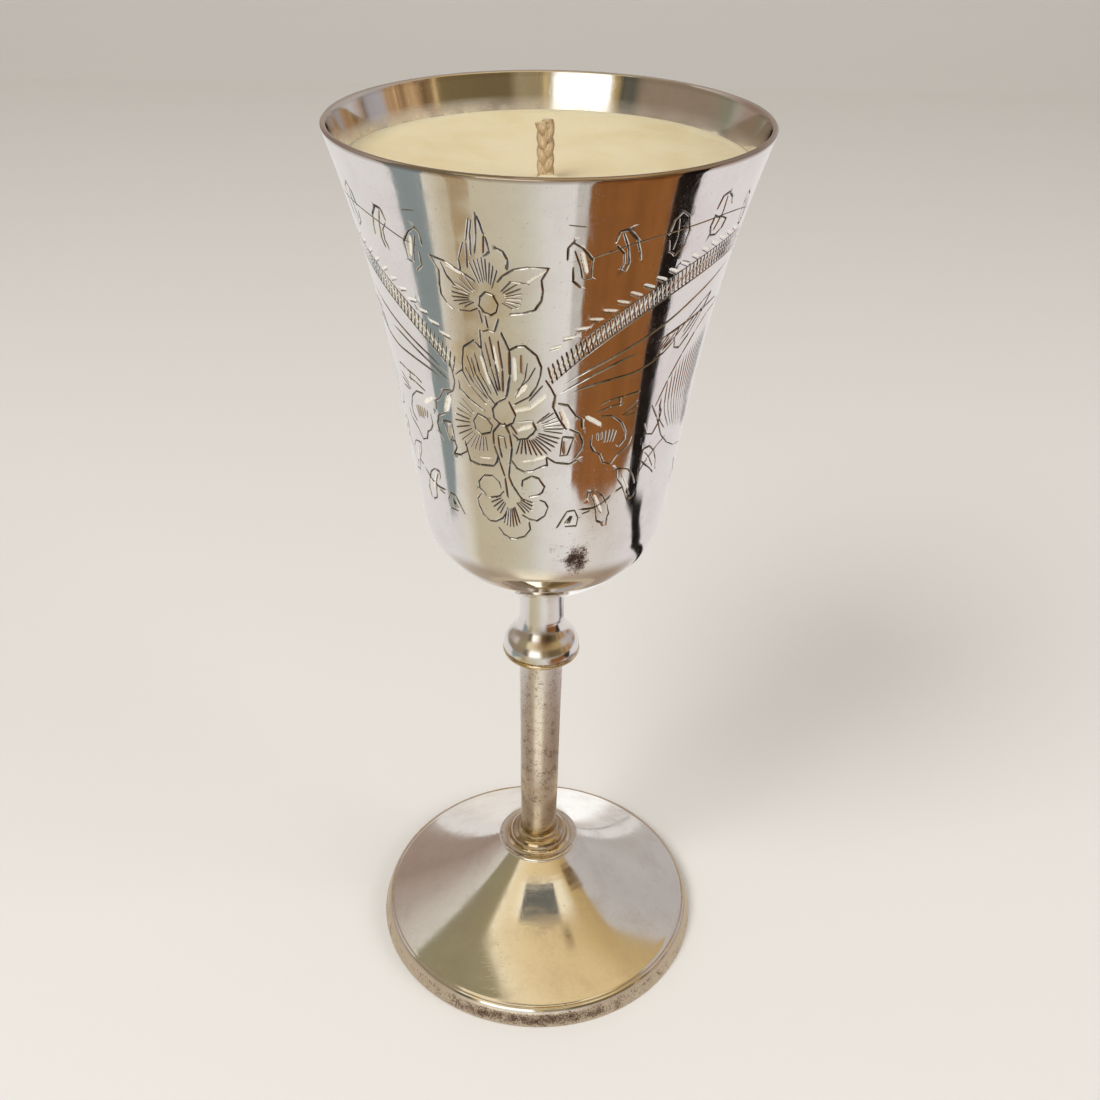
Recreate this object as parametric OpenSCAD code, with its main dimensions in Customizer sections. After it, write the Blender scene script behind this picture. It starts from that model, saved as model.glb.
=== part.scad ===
// Stemmed goblet of silver-plated brass, filled with a poured candle.
// Millimetres. +Z is up and the origin is the centre of the foot's underside.
// The goblet is a stack on one threaded rod: bowl, knop, stem, collar and foot,
// drawn together by a nut inside the foot. The candle stands loose in the bowl.

/* [Overall] */
// Height of the rim above the table
rim_h = 178; // [170:1:190]
// Outer radius of the bowl at the rim
rim_r = 36; // [34:0.5:38]
// Thickness of the spun bowl
bowl_wall = 0.9; // [0.7:0.1:1.2]

/* [Bowl] */
// Height of the widest part of the bowl's round bottom
waist_h = 107; // [106:1:110]
// Outer radius there
waist_r = 22.4; // [21.5:0.1:23.5]
// Height of the flat seat under the bowl
seat_h = 89.7; // [89.2:0.1:90.2]
// Radius of the flat seat
seat_r = 4.8; // [4.6:0.1:5]

/* [Stem] */
// Height of the knop's lower face
knop_h = 73.2; // [72:0.2:74]
// Radius of the knop's bead, its widest ring
knop_r = 7.8; // [7:0.1:8.5]
// Radius of the knop's neck
neck_r = 4.4; // [4:0.1:4.6]
// Outer radius of the stem tube under the knop
stem_top_r = 4.5; // [4.2:0.1:5]
// Outer radius of the stem tube at the collar
stem_low_r = 3.9; // [3.7:0.1:4.2]
// Thickness of the stem tube
stem_wall = 0.7; // [0.5:0.1:0.9]

/* [Foot] */
// Outer radius of the foot on the table
foot_r = 35.4; // [33:0.2:37]
// Radius of the crease where the foot's cone meets its rim band
crease_r = 33.7; // [32:0.1:34.5]
// Height of that crease
crease_h = 4.3; // [3.5:0.1:5]
// Height of the flat top of the foot, under the collar
foot_top_h = 20.9; // [19:0.1:22]
// Thickness of the spun foot
foot_wall = 1; // [0.8:0.1:1.2]
// Radius of the collar's outer bead
collar_r = 8.8; // [8.4:0.1:9.4]

/* [Rod, washer and nut] */
// Radius of the tie rod (M4)
rod_r = 2; // [2:0.1:2.2]
// Radial clearance of every hole that the rod passes
rod_gap = 0.1; // [0.05:0.05:0.2]
// Width of the nut across its flats
nut_flats = 7; // [6.5:0.5:8]
// Height of the nut
nut_h = 3.2; // [2.5:0.1:4]
// Outer radius of the washer
washer_r = 6; // [5:0.5:7]

/* [Candle] */
// Height of the wax surface
wax_h = 171.7; // [165:0.1:173]
// Gap between the shrunken wax and the bowl
wax_gap = 0.1; // [0.05:0.05:0.2]
// How far the wick has drifted from the axis at the wax surface
wick_drift = 10.4; // [0:0.2:12]
// Radius of the braided wick
wick_r = 1.25; // [1:0.05:1.5]
// Height of the wick's cut end
wick_top_h = 180.4; // [177:0.1:184]
// Radius of the metal tab that holds the wick
tab_r = 6; // [5:0.5:6.5]

/* [Hidden] */
$fn = 96;

steps = 14;              // points along each outline curve
rod_low_h = 13.5;        // lower end of the rod
flange_t = 0.7;          // thickness of the rod's round head
tab_h = 92.6;            // underside of the wick's metal tab
tab_t = 0.4;             // thickness of the tab
crimp_r = 1.9;           // radius of the tab's crimped neck
crimp_h = 3.5;           // height of that neck
crimp_in = 1.35;         // radius inside that neck
sticker_r = 4;           // radius of the adhesive dot
spigot_len = 3;          // length of the knop's spigot inside the stem
spigot_gap = 0.05;       // radial clearance of the spigots
washer_t = 1;            // thickness of the washer
socket_h = 21.7;         // height of the stem's lower end, inside the collar
shoulder_h = 24.4;       // height where the stem enters the collar
seam = 0.05;             // gap left between the candle's own parts
head_h = seat_h - flange_t;
foot_in_h = foot_top_h - foot_wall;
washer_h = foot_in_h - washer_t;
nut_low_h = washer_h - nut_h;
floor_h = seat_h + bowl_wall;
wick_foot_h = tab_h + tab_t + 0.3;
wick_lean = atan(wick_drift / (wax_h - wick_foot_h));

// One point of a curve with four control points.
function bezier(p, t) =
    pow(1 - t, 3) * p[0] + 3 * t * pow(1 - t, 2) * p[1]
    + 3 * t * t * (1 - t) * p[2] + t * t * t * p[3];

// Direction of the same curve.
function along(p, t) =
    pow(1 - t, 2) * (p[1] - p[0]) + 2 * t * (1 - t) * (p[2] - p[1])
    + t * t * (p[3] - p[2]);

// The left-hand normal, one unit long.
function normal(v) = [-v[1], v[0]] / norm(v);

// Points from parameter a to b along a curve that is moved sideways by d.
function curve(p, d = 0, a = 0, b = 1, n = steps) =
    [for (i = [0 : n]) let (t = a + (b - a) * i / n) bezier(p, t) + d * normal(along(p, t))];

function reversed(list) = [for (i = [len(list) - 1 : -1 : 0]) list[i]];

// The bowl's outline, from the rim down to the waist and on to the seat.
wall_curve = [
    [rim_r, rim_h], [rim_r - 8.5, rim_h - 26.5],
    [waist_r + 3.8, waist_h + 27.5], [waist_r, waist_h]
];
base_curve = [
    [waist_r, waist_h], [waist_r - 1.2, waist_h - 8.7],
    [seat_r + 2.6, seat_h + 1.1], [seat_r, seat_h]
];

// Parameter of the wall curve at height h, by halving.
function wall_at(h, d, lo = 0, hi = 1, n = 24) =
    let (mid = (lo + hi) / 2,
         p = bezier(wall_curve, mid) + d * normal(along(wall_curve, mid)))
    n == 0 ? mid : p[1] > h ? wall_at(h, d, mid, hi, n - 1) : wall_at(h, d, lo, mid, n - 1);

// Half outline of everything inside the bowl, held d away from its outer skin.
function cup_space(d, top_t = 0) = concat(
    [[0, bezier(wall_curve, top_t)[1] + d * normal(along(wall_curve, top_t))[1]]],
    curve(wall_curve, d, top_t),
    [for (p = curve(base_curve, d)) if (p[0] > seat_r - d) p],
    [[seat_r + d, seat_h - d], [0, seat_h - d]]
);

// A round solid from an outline of [radius, height] points.
module turned(outline) {
    rotate_extrude(convexity = 6)
        polygon(outline);
}

// Spun bowl with a rolled rim and a flat seat.
module bowl() {
    color("#d8d2c6")
    turned(concat(
        curve(wall_curve),
        [for (p = curve(base_curve)) if (p[1] < waist_h) p],
        [[0, seat_h], [0, floor_h], [seat_r - 0.4, floor_h]],
        reversed([for (p = curve(base_curve, -bowl_wall)) if (p[1] > floor_h + 0.05) p]),
        reversed([for (p = curve(wall_curve, -bowl_wall)) if (p[1] > waist_h + 0.1) p]),
        [rim_roll(150), rim_roll(90), rim_roll(30)]
    ));
}

// A point on the half-round edge of the rim, where 0 is its outside and 180 its inside.
function rim_roll(a) =
    let (n = normal(along(wall_curve, 0)), r = bowl_wall / 2)
    wall_curve[0] - r * n + r * (cos(a) * n + sin(a) * [-n[1], n[0]]);

// Threaded rod with a flat round head that is brazed under the bowl.
module tie_rod() {
    color("#cdb67c")
    union() {
        translate([0, 0, head_h]) cylinder(h = flange_t, r = seat_r);
        translate([0, 0, rod_low_h]) cylinder(h = head_h - rod_low_h, r = rod_r);
    }
}

// Bell-shaped knop: neck, flare, groove, bead and a spigot for the stem.
module knop() {
    flare = [[neck_r, 82.5], [neck_r + 0.15, 78], [knop_r - 0.4, 78.6], [knop_r - 0.1, 75]];
    color("#d3c79f")
    difference() {
        turned(concat(
            [[0, head_h], [neck_r, head_h]],
            curve(flare),
            [[knop_r - 0.4, 74.75]],
            [for (a = [75 : -25 : -75])
                [knop_r - 0.55 + 0.55 * cos(a), 74.1 + 0.55 * sin(a)]],
            [[knop_r - 1, knop_h], [stem_top_r - stem_wall - spigot_gap, knop_h],
             [stem_top_r - stem_wall - spigot_gap, knop_h - spigot_len],
             [0, knop_h - spigot_len]]
        ));
        translate([0, 0, knop_h - spigot_len - 1])
            cylinder(h = head_h - knop_h + spigot_len + 2, r = rod_r + rod_gap);
    }
}

// Tapered tube, stepped in at its foot to stand in the collar.
module stem_tube() {
    bore_low_r = stem_low_r - stem_wall;
    color("#cfc8ba")
    difference() {
        union() {
            translate([0, 0, shoulder_h])
                cylinder(h = knop_h - shoulder_h, r1 = stem_low_r, r2 = stem_top_r);
            translate([0, 0, socket_h])
                cylinder(h = shoulder_h - socket_h, r = stem_low_r - 0.3);
        }
        translate([0, 0, shoulder_h])
            cylinder(h = knop_h - spigot_len - shoulder_h - 1, r1 = bore_low_r,
                     r2 = stem_top_r - stem_wall);
        translate([0, 0, knop_h - spigot_len - 1])
            cylinder(h = spigot_len + 2, r = stem_top_r - stem_wall);
        translate([0, 0, socket_h - 1])
            cylinder(h = shoulder_h - socket_h + 2, r = bore_low_r);
    }
}

// Stepped collar: fillet ring, dome, cove and outer bead.
module collar() {
    color("#d2c08f")
    difference() {
        turned(concat(
            [[0, shoulder_h], [stem_low_r + 0.3, shoulder_h + 0.25],
             [stem_low_r + 0.65, shoulder_h + 0.1], [stem_low_r + 0.75, shoulder_h - 0.2]],
            curve([[4.7, 24.1], [5.6, 24], [6.3, 23.4], [6.4, 22.3]], n = 8),
            curve([[6.5, 22], [6.9, 21.6], [7.6, 21.5], [8.1, 21.75]], n = 5),
            [for (a = [110 : -25 : -90])
                [collar_r - 0.45 + 0.45 * cos(a), foot_top_h + 0.45 + 0.45 * sin(a)]],
            [[0, foot_top_h]]
        ));
        translate([0, 0, foot_top_h - 1]) cylinder(h = 5, r = rod_r + rod_gap);
        translate([0, 0, socket_h]) cylinder(h = 4, r = stem_low_r - 0.3 + spigot_gap);
        translate([0, 0, shoulder_h]) cylinder(h = 1, r = stem_low_r + spigot_gap);
    }
}

// Spun trumpet foot with a turned-down rim band.
module foot() {
    top_r = 8.1;
    cone = [[top_r, foot_top_h], [15, 14.6], [24.6, 8.9], [crease_r - 0.35, crease_h + 0.1]];
    color("#d6c9a4")
    difference() {
        turned(concat(
            [[0, foot_top_h]],
            curve(cone, n = 18),
            [[crease_r - 0.2, crease_h - 0.05], [crease_r + 0.05, crease_h + 0.02]],
            curve([[crease_r + 0.3, crease_h - 0.1], [crease_r + 0.9, crease_h - 0.5],
                   [foot_r - 0.35, 1.4], [foot_r, 0.5]], n = 8),
            [[foot_r - 0.02, 0.2], [foot_r - 0.25, 0], [foot_r - 1.15, 0],
             [crease_r - 0.15, crease_h - 1.15]],
            reversed(curve(cone, -foot_wall, 0.08, 0.97, 16)),
            [[washer_r + 1.4, foot_in_h], [0, foot_in_h]]
        ));
        translate([0, 0, foot_in_h - 1]) cylinder(h = foot_wall + 2, r = rod_r + rod_gap);
    }
}

// Flat washer inside the foot.
module foot_washer() {
    color("#c2ab6e")
    difference() {
        translate([0, 0, washer_h]) cylinder(h = washer_t, r = washer_r);
        translate([0, 0, washer_h - 1]) cylinder(h = washer_t + 2, r = rod_r + rod_gap);
    }
}

// Hexagon nut that draws the stack together.
module foot_nut() {
    color("#b9a268")
    difference() {
        translate([0, 0, nut_low_h]) cylinder(h = nut_h, r = nut_flats / sqrt(3), $fn = 6);
        translate([0, 0, nut_low_h - 1]) cylinder(h = nut_h + 2, r = rod_r);
    }
}

// The line of the wick: from the tab it leans towards -Y.
module on_wick_line() {
    translate([0, 0, wick_foot_h]) rotate([wick_lean, 0, 0]) children();
}

// Wax that fills the bowl, with room for the wick, its tab and its sticker.
module wax_fill() {
    skin = -(bowl_wall + wax_gap);
    color("#efe6cf")
    difference() {
        turned(cup_space(skin, wall_at(wax_h, skin)));
        on_wick_line() cylinder(h = 90, r = wick_r + seam);
        translate([0, 0, tab_h - seam]) cylinder(h = tab_t + 2 * seam, r = tab_r + seam);
        translate([0, 0, tab_h]) cylinder(h = tab_t + crimp_h + seam, r = crimp_r + seam);
        translate([0, 0, 80]) cylinder(h = tab_h - 80, r = sticker_r + seam);
    }
}

// Braided wick as a plain round cord.
module wick() {
    color("#c9b48c")
    on_wick_line() cylinder(h = (wick_top_h - wick_foot_h) / cos(wick_lean), r = wick_r);
}

// Sheet-metal tab with a crimped neck around the wick.
module wick_tab() {
    color("#b8b8b4")
    difference() {
        union() {
            translate([0, 0, tab_h]) cylinder(h = tab_t, r = tab_r);
            translate([0, 0, tab_h]) cylinder(h = tab_t + crimp_h, r = crimp_r);
        }
        on_wick_line() cylinder(h = 20, r = crimp_in);
    }
}

// Adhesive dot under the tab.
module wick_sticker() {
    color("#f2f2ee")
    translate([0, 0, floor_h + wax_gap])
        cylinder(h = tab_h - floor_h - wax_gap, r = sticker_r);
}

bowl();
tie_rod();
knop();
stem_tube();
collar();
foot();
foot_washer();
foot_nut();
wax_fill();
wick();
wick_tab();
wick_sticker();
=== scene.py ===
"""The looks of an engraved silver-plated goblet that holds a poured candle."""

import math
import random

import bmesh
import bpy
import numpy as np
from mathutils import Matrix, Vector
from mathutils.geometry import delaunay_2d_cdt


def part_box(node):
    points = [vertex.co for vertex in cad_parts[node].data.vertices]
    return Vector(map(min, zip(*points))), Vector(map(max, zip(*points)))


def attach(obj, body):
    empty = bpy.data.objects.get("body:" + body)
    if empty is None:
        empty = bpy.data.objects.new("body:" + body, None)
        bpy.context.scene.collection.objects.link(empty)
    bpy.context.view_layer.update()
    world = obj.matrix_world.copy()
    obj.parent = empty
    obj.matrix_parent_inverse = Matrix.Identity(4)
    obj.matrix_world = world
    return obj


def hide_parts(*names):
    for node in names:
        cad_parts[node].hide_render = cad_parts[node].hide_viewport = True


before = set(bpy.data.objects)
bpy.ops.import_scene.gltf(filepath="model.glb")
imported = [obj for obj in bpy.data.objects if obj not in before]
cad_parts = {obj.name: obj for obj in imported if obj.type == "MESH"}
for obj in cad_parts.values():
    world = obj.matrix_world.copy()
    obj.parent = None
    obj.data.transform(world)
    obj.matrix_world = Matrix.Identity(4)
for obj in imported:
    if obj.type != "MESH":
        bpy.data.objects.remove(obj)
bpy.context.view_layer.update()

MM = 0.001
TURN = 2 * math.pi


# ---------------------------------------------------------------- outlines

def outline_of(node):
    """A turned node's corners as (radius, height) in mm, in order, and whether they close."""
    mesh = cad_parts[node].data
    place = np.empty(len(mesh.vertices) * 3)
    mesh.vertices.foreach_get("co", place)
    place = place.reshape(-1, 3) / MM
    flat = np.column_stack([np.hypot(place[:, 0], place[:, 1]), place[:, 2]])
    corners, cells = [], {}
    corner_of = np.empty(len(flat), int)
    for i, p in enumerate(flat):
        cell = (int(p[0] / 0.04), int(p[1] / 0.04))
        near = (c for dx in (-1, 0, 1) for dy in (-1, 0, 1)
                for c in cells.get((cell[0] + dx, cell[1] + dy), ()))
        found = next((c for c in near if np.hypot(*(corners[c] - p)) < 0.02), None)
        if found is None:
            found = len(corners)
            corners.append(p)
            cells.setdefault(cell, []).append(found)
        corner_of[i] = found
    links = {i: set() for i in range(len(corners))}
    for edge in mesh.edges:
        a, b = (int(corner_of[v]) for v in edge.vertices)
        if a != b:
            links[a].add(b)
            links[b].add(a)
    start = next((i for i in links if len(links[i]) == 1), 0)
    path, last = [start], None
    while True:
        onward = [i for i in links[path[-1]] if i != last and i not in path]
        if not onward:
            break
        last = path[-1]
        path.append(onward[0])
    closed = start in links[path[-1]] and len(path) > 2
    return np.array([corners[i] for i in path]), closed


def smoothed(points, closed, step=0.35, corner=30.0):
    """The outline with its gentle bends rounded and its sharp corners kept, in steps of step mm."""
    n = len(points)

    def turn_at(i):
        a = points[i] - points[i - 1]
        b = points[(i + 1) % n] - points[i]
        return abs(math.degrees(math.atan2(a[0] * b[1] - a[1] * b[0], a @ b)))

    ends = range(n) if closed else range(1, n - 1)
    sharp = {i for i in ends if turn_at(i) > corner}
    made = []
    for i in range(n if closed else n - 1):
        p1, p2 = points[i], points[(i + 1) % n]
        at_end = not closed and i == 0
        p0 = 2 * p1 - p2 if i in sharp or at_end else points[i - 1]
        j = (i + 1) % n
        at_end = not closed and i + 1 == n - 1
        p3 = 2 * p2 - p1 if j in sharp or at_end else points[(i + 2) % n]
        chord = np.hypot(*(p2 - p1))
        before = chord / max(np.hypot(*(p2 - p0)), 1e-9)
        after = chord / max(np.hypot(*(p3 - p1)), 1e-9)
        m1, m2 = (p2 - p0) * before, (p3 - p1) * after
        count = max(1, int(math.ceil(chord / step)))
        for k in range(count):
            t = k / count
            made.append((2 * t**3 - 3 * t**2 + 1) * p1 + (t**3 - 2 * t**2 + t) * m1
                        + (3 * t**2 - 2 * t**3) * p2 + (t**3 - t**2) * m2)
    if not closed:
        made.append(points[-1])
    return np.array(made)


def new_object(name, verts, faces, body, node):
    """A smooth mesh piece that stands for a CAD node and rides on its body."""
    mesh = bpy.data.meshes.new(name)
    mesh.from_pydata([tuple(v) for v in verts], [], faces)
    mesh.validate()
    mesh.update()
    mesh.shade_smooth()
    piece = bpy.data.objects.new(name, mesh)
    bpy.context.scene.collection.objects.link(piece)
    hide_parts(node)
    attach(piece, body)
    return piece


def lathe_mesh(points, closed, segments, waver=0.0):
    """Vertices (m) and faces of a turned solid; open outlines end in a pole on the axis."""
    turns = np.arange(segments) / segments * TURN
    verts, faces = [], []
    for r, z in points:
        wave = waver * (np.sin(3 * turns + z * 0.07) + 0.6 * np.sin(5 * turns - z * 0.11))
        for a, dr in zip(turns, wave):
            verts.append(((r + dr) * math.sin(a) * MM, -(r + dr) * math.cos(a) * MM, z * MM))
    rows = len(points)
    for i in range(rows if closed else rows - 1):
        j = (i + 1) % rows
        for k in range(segments):
            m = (k + 1) % segments
            faces.append((i * segments + k, j * segments + k, j * segments + m, i * segments + m))
    if not closed:
        for row, flip in ((0, False), (rows - 1, True)):
            pole = len(verts)
            verts.append((0, 0, points[row][1] * MM))
            for k in range(segments):
                a, b = row * segments + k, row * segments + (k + 1) % segments
                faces.append((pole, b, a) if flip else (pole, a, b))
    return verts, faces


def finished(piece, sharp=None):
    """The piece with its faces turned outwards and its edges past sharp degrees left hard."""
    work = bmesh.new()
    work.from_mesh(piece.data)
    bmesh.ops.recalc_face_normals(work, faces=work.faces)
    work.to_mesh(piece.data)
    work.free()
    if sharp:
        piece.data.set_sharp_from_angle(angle=math.radians(sharp))
    return piece


def write_layer(piece, name, values):
    """One number per vertex, for the materials to read."""
    layer = piece.data.attributes.new(name, "FLOAT", "POINT")
    layer.data.foreach_set("value", np.asarray(values, np.float32))


def paint(piece, **layers):
    """Writes named layers from functions of azimuth (degrees), height and radius (mm)."""
    mesh = piece.data
    place = np.empty(len(mesh.vertices) * 3)
    mesh.vertices.foreach_get("co", place)
    x, y, z = (place.reshape(-1, 3) / MM).T
    for name, rule in layers.items():
        value = rule(np.degrees(np.arctan2(x, -y)), z, np.hypot(x, y))
        write_layer(piece, name, np.clip(value * np.ones(len(z)), 0, 1))


def turned_piece(name, node, body, segments, step, waver=0.0):
    """A finely turned copy of a turned CAD node."""
    points, closed = outline_of(node)
    verts, faces = lathe_mesh(smoothed(points, closed, step), closed, segments, waver)
    return finished(new_object(name, verts, faces, body, node), 40)


# ---------------------------------------------------------------- node tools

class Nodes:
    """A short way to add and join shader nodes."""

    def __init__(self, tree):
        self.tree = tree
        tree.nodes.clear()

    def add(self, kind, **values):
        """A new node: names that start with in_ are its inputs, the rest its settings."""
        node = self.tree.nodes.new(kind)
        for key, value in values.items():
            if key.startswith("in_"):
                self.put(value, node.inputs[key[3:].replace("__", " ")])
            else:
                setattr(node, key, value)
        return node

    def put(self, value, target):
        if isinstance(value, bpy.types.NodeSocket):
            self.tree.links.new(value, target)
        elif isinstance(value, bpy.types.Node):
            self.tree.links.new(value.outputs[0], target)
        else:
            target.default_value = value

    def math(self, op, a, b=0.0, clamp=False):
        node = self.add("ShaderNodeMath", operation=op, use_clamp=clamp)
        self.put(a, node.inputs[0])
        self.put(b, node.inputs[1])
        return node.outputs[0]

    def plus(self, a, b, clamp=False):
        return self.math("ADD", a, b, clamp)

    def minus(self, a, b):
        return self.math("SUBTRACT", a, b)

    def times(self, a, b, *more, clamp=False):
        whole = self.math("MULTIPLY", a, b, clamp)
        for part in more:
            whole = self.math("MULTIPLY", whole, part)
        return whole

    def step(self, value, low, high, out_low=0.0, out_high=1.0):
        """A smooth step from out_low at low to out_high at high."""
        node = self.add("ShaderNodeMapRange", interpolation_type="SMOOTHSTEP", in_Value=value,
                        in_From__Min=low, in_From__Max=high, in_To__Min=out_low,
                        in_To__Max=out_high)
        return node.outputs[0]

    def mix(self, factor, a, b):
        """Colour a where factor is 0, b where it is 1."""
        node = self.add("ShaderNodeMix", data_type="RGBA")
        for socket, value in ((0, factor), (6, a), (7, b)):
            self.put(value, node.inputs[socket])
        return node.outputs[2]

    def either(self, factor, a, b):
        """Shader a where factor is 0, b where it is 1."""
        node = self.add("ShaderNodeMixShader")
        for socket, value in enumerate((factor, a, b)):
            self.put(value, node.inputs[socket])
        return node.outputs[0]

    def noise(self, where, scale, detail=3.0, rough=0.55, distort=0.0):
        node = self.add("ShaderNodeTexNoise", in_Vector=where, in_Scale=scale,
                        in_Detail=detail, in_Roughness=rough, in_Distortion=distort)
        return node.outputs["Fac"]

    def ramp(self, value, stops):
        node = self.add("ShaderNodeValToRGB", in_Fac=value)
        marks = node.color_ramp.elements
        while len(marks) > 1:
            marks.remove(marks[-1])
        for i, (place, colour) in enumerate(stops):
            mark = marks[0] if i == 0 else marks.new(place)
            mark.position = place
            mark.color = colour
        return node.outputs[0]

    def layer(self, name):
        return self.add("ShaderNodeAttribute", attribute_name=name).outputs["Fac"]

    def millimetres(self, where=None):
        """A place in millimetres: the point on the piece, unless another is given."""
        where = where or self.add("ShaderNodeTexCoord").outputs["Object"]
        node = self.add("ShaderNodeVectorMath", operation="SCALE", in_Vector=where,
                        in_Scale=1 / MM)
        return node.outputs[0]

    def stretched(self, where, size, turn=(0, 0, 0)):
        node = self.add("ShaderNodeMapping", in_Vector=where, in_Rotation=turn, in_Scale=size)
        return node.outputs[0]

    def bump(self, strength, depth, height):
        node = self.add("ShaderNodeBump", in_Strength=strength, in_Distance=depth,
                        in_Height=height)
        return node.outputs[0]

    def surface(self, **values):
        """A principled shader, joined to the material's output."""
        shader = self.add("ShaderNodeBsdfPrincipled", **values)
        self.add("ShaderNodeOutputMaterial", in_Surface=shader)

    def azimuth(self, x, y):
        """Degrees to the right of the front."""
        return self.times(self.math("ARCTAN2", x, self.times(y, -1.0)), 180 / math.pi)

    def share(self, degrees):
        """An azimuth as a place on a ramp that goes all the way round."""
        return self.plus(self.math("DIVIDE", degrees, 360.0), 0.5)

    def round_about(self, share, *stops):
        """Colours all the way round, from (azimuth, colour) stops."""
        return self.ramp(share, [((a + 180) / 360, srgb(*c)) for a, c in stops])


def srgb(r, g, b):
    """A colour as the eye reads it on a screen, in the renderer's linear numbers."""
    return tuple(((c + 0.055) / 1.055) ** 2.4 if c > 0.04045 else c / 12.92
                 for c in (r, g, b)) + (1.0,)


def darkened(colour, share):
    return tuple(c * share for c in colour[:3]) + (1.0,)


def material(name, slot_colour):
    made = bpy.data.materials.new(name)
    made.use_nodes = True
    made.diffuse_color = slot_colour
    return made, Nodes(made.node_tree)


SILVER = srgb(0.93, 0.915, 0.885)
BRASS = srgb(0.86, 0.74, 0.47)
HAZE = srgb(0.84, 0.78, 0.76)
OXIDE = srgb(0.23, 0.17, 0.13)
# Brown for wear, and also for painted reflection on the bowl's rim and round the stem.
WEAR_AND_REFLECTION_BROWN = srgb(0.50, 0.38, 0.26)
PINKISH = srgb(0.52, 0.42, 0.38)
# Near-white painted highlight for the bright facets of the cuts.
PAINTED_GLINT_WHITE = srgb(0.98, 0.96, 0.90)
SMEARED = srgb(0.80, 0.72, 0.55)


def plated(name, haze=0.35, gloss=0.055, speckle=0.5, oxide=0.9):
    """Silver plate: rubbed through to brass, hazed, speckled, oxidised, browned by painted
    reflection and given painted white highlights on its bright cuts, where the layers say so.
    """
    made, n = material(name, SILVER)
    mm = n.millimetres()
    broad = n.noise(mm, 0.09, 4, 0.6, 0.4)
    fine = n.noise(mm, 0.8, 6, 0.7)
    grit = n.noise(mm, 3.1, 3, 0.7)
    brass = n.plus(n.layer("brass"), n.step(broad, 0.45, 0.75, -0.1, 0.25))
    brass = n.step(n.plus(brass, n.times(n.minus(fine, 0.5), 0.5)), 0.25, 1.0)
    fog = n.times(n.step(n.noise(mm, 0.13, 6, 0.68), 0.40, 0.72), haze, clamp=True)
    colour = n.mix(fog, n.mix(brass, SILVER, BRASS), HAZE)
    # Brown from a layer that holds wear on some parts and painted reflection on the bowl's rim and
    # round the stem.
    colour = n.mix(n.layer("worn"), colour, WEAR_AND_REFLECTION_BROWN)
    # Dark specks, and patches of oxide with a pinkish halo; round the stem, bands of these patches
    # are painted reflection.
    dots = n.step(n.plus(grit, n.times(fine, 0.35)), 0.83, 0.92, 0, speckle)
    patch = n.layer("tarnish")
    blot = n.times(n.minus(n.noise(mm, 0.5, 4, 0.65), 0.5), 1.4)
    eaten = n.plus(patch, n.plus(n.times(n.minus(grit, 0.5), 1.5), blot))
    halo = n.times(n.step(eaten, 0.28, 0.66, 0.0, 0.75), n.step(patch, 0.05, 0.25))
    colour = n.mix(halo, colour, PINKISH)
    bitten = n.times(n.step(eaten, 0.56, 0.92), n.step(patch, 0.05, 0.25, 0.0, oxide))
    # The engraving: oxide in the grooves (above 0) and a painted white highlight, matt and not
    # metallic, on bright facets (below 0).
    cut = n.layer("groove")
    groove = n.times(n.step(cut, 0.12, 0.8), n.step(n.noise(mm, 0.5, 3), 0.25, 0.6, 0.62, 0.92))
    painted_glint = n.step(cut, -0.15, -0.75, 0.0, 0.75)
    dark = n.math("MAXIMUM", n.math("MAXIMUM", dots, bitten), groove, clamp=True)
    colour = n.mix(dark, colour, OXIDE)
    rough = n.plus(n.plus(gloss, n.times(fog, 0.28)), n.times(fine, 0.05))
    rough = n.plus(rough, n.times(dark, 0.4), clamp=True)
    # Fine rubbed scratches in two directions.
    rubs = ((9, 0.25, 0.25), (0.5, 0.2, 0.9)), ((0.3, 11, 0.3), (1.9, 0.8, 0.3))
    lines = [n.step(n.noise(n.stretched(mm, size, turn), 1.0, 2), 0.60, 0.74)
             for size, turn in rubs]
    height = n.plus(n.times(n.plus(*lines), -0.25), n.times(dark, -1.0))
    # Wax smeared on the wall just above the candle.
    smear = n.step(n.noise(mm, 0.25, 3, 0.5), 0.25, 0.70, 0.45, 1.0)
    film = n.times(n.layer("film"), smear, clamp=True)
    colour = n.mix(n.times(film, 0.75), colour, SMEARED)
    matt = n.math("MAXIMUM", painted_glint, n.times(film, 0.8))
    n.surface(in_Base__Color=n.mix(painted_glint, colour, PAINTED_GLINT_WHITE), in_Metallic=n.minus(1.0, matt),
              in_Roughness=n.plus(rough, n.times(film, 0.25), clamp=True),
              in_Normal=n.bump(0.12, 0.00003, height))
    return made


def plain_metal(name, colour, rough):
    """Turned or stamped metal with fine lathe lines and light dulling."""
    made, n = material(name, colour)
    mm = n.millimetres()
    dull = n.noise(mm, 0.5, 5, 0.65)
    lines = n.noise(n.stretched(mm, (0.2, 0.2, 9)), 1.0, 2)
    n.surface(in_Metallic=1.0,
              in_Base__Color=n.mix(n.step(dull, 0.45, 0.7), colour, darkened(colour, 0.55)),
              in_Roughness=n.step(dull, 0.3, 0.75, rough, rough + 0.25),
              in_Normal=n.bump(0.2, 0.00003, lines))
    return made


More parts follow.
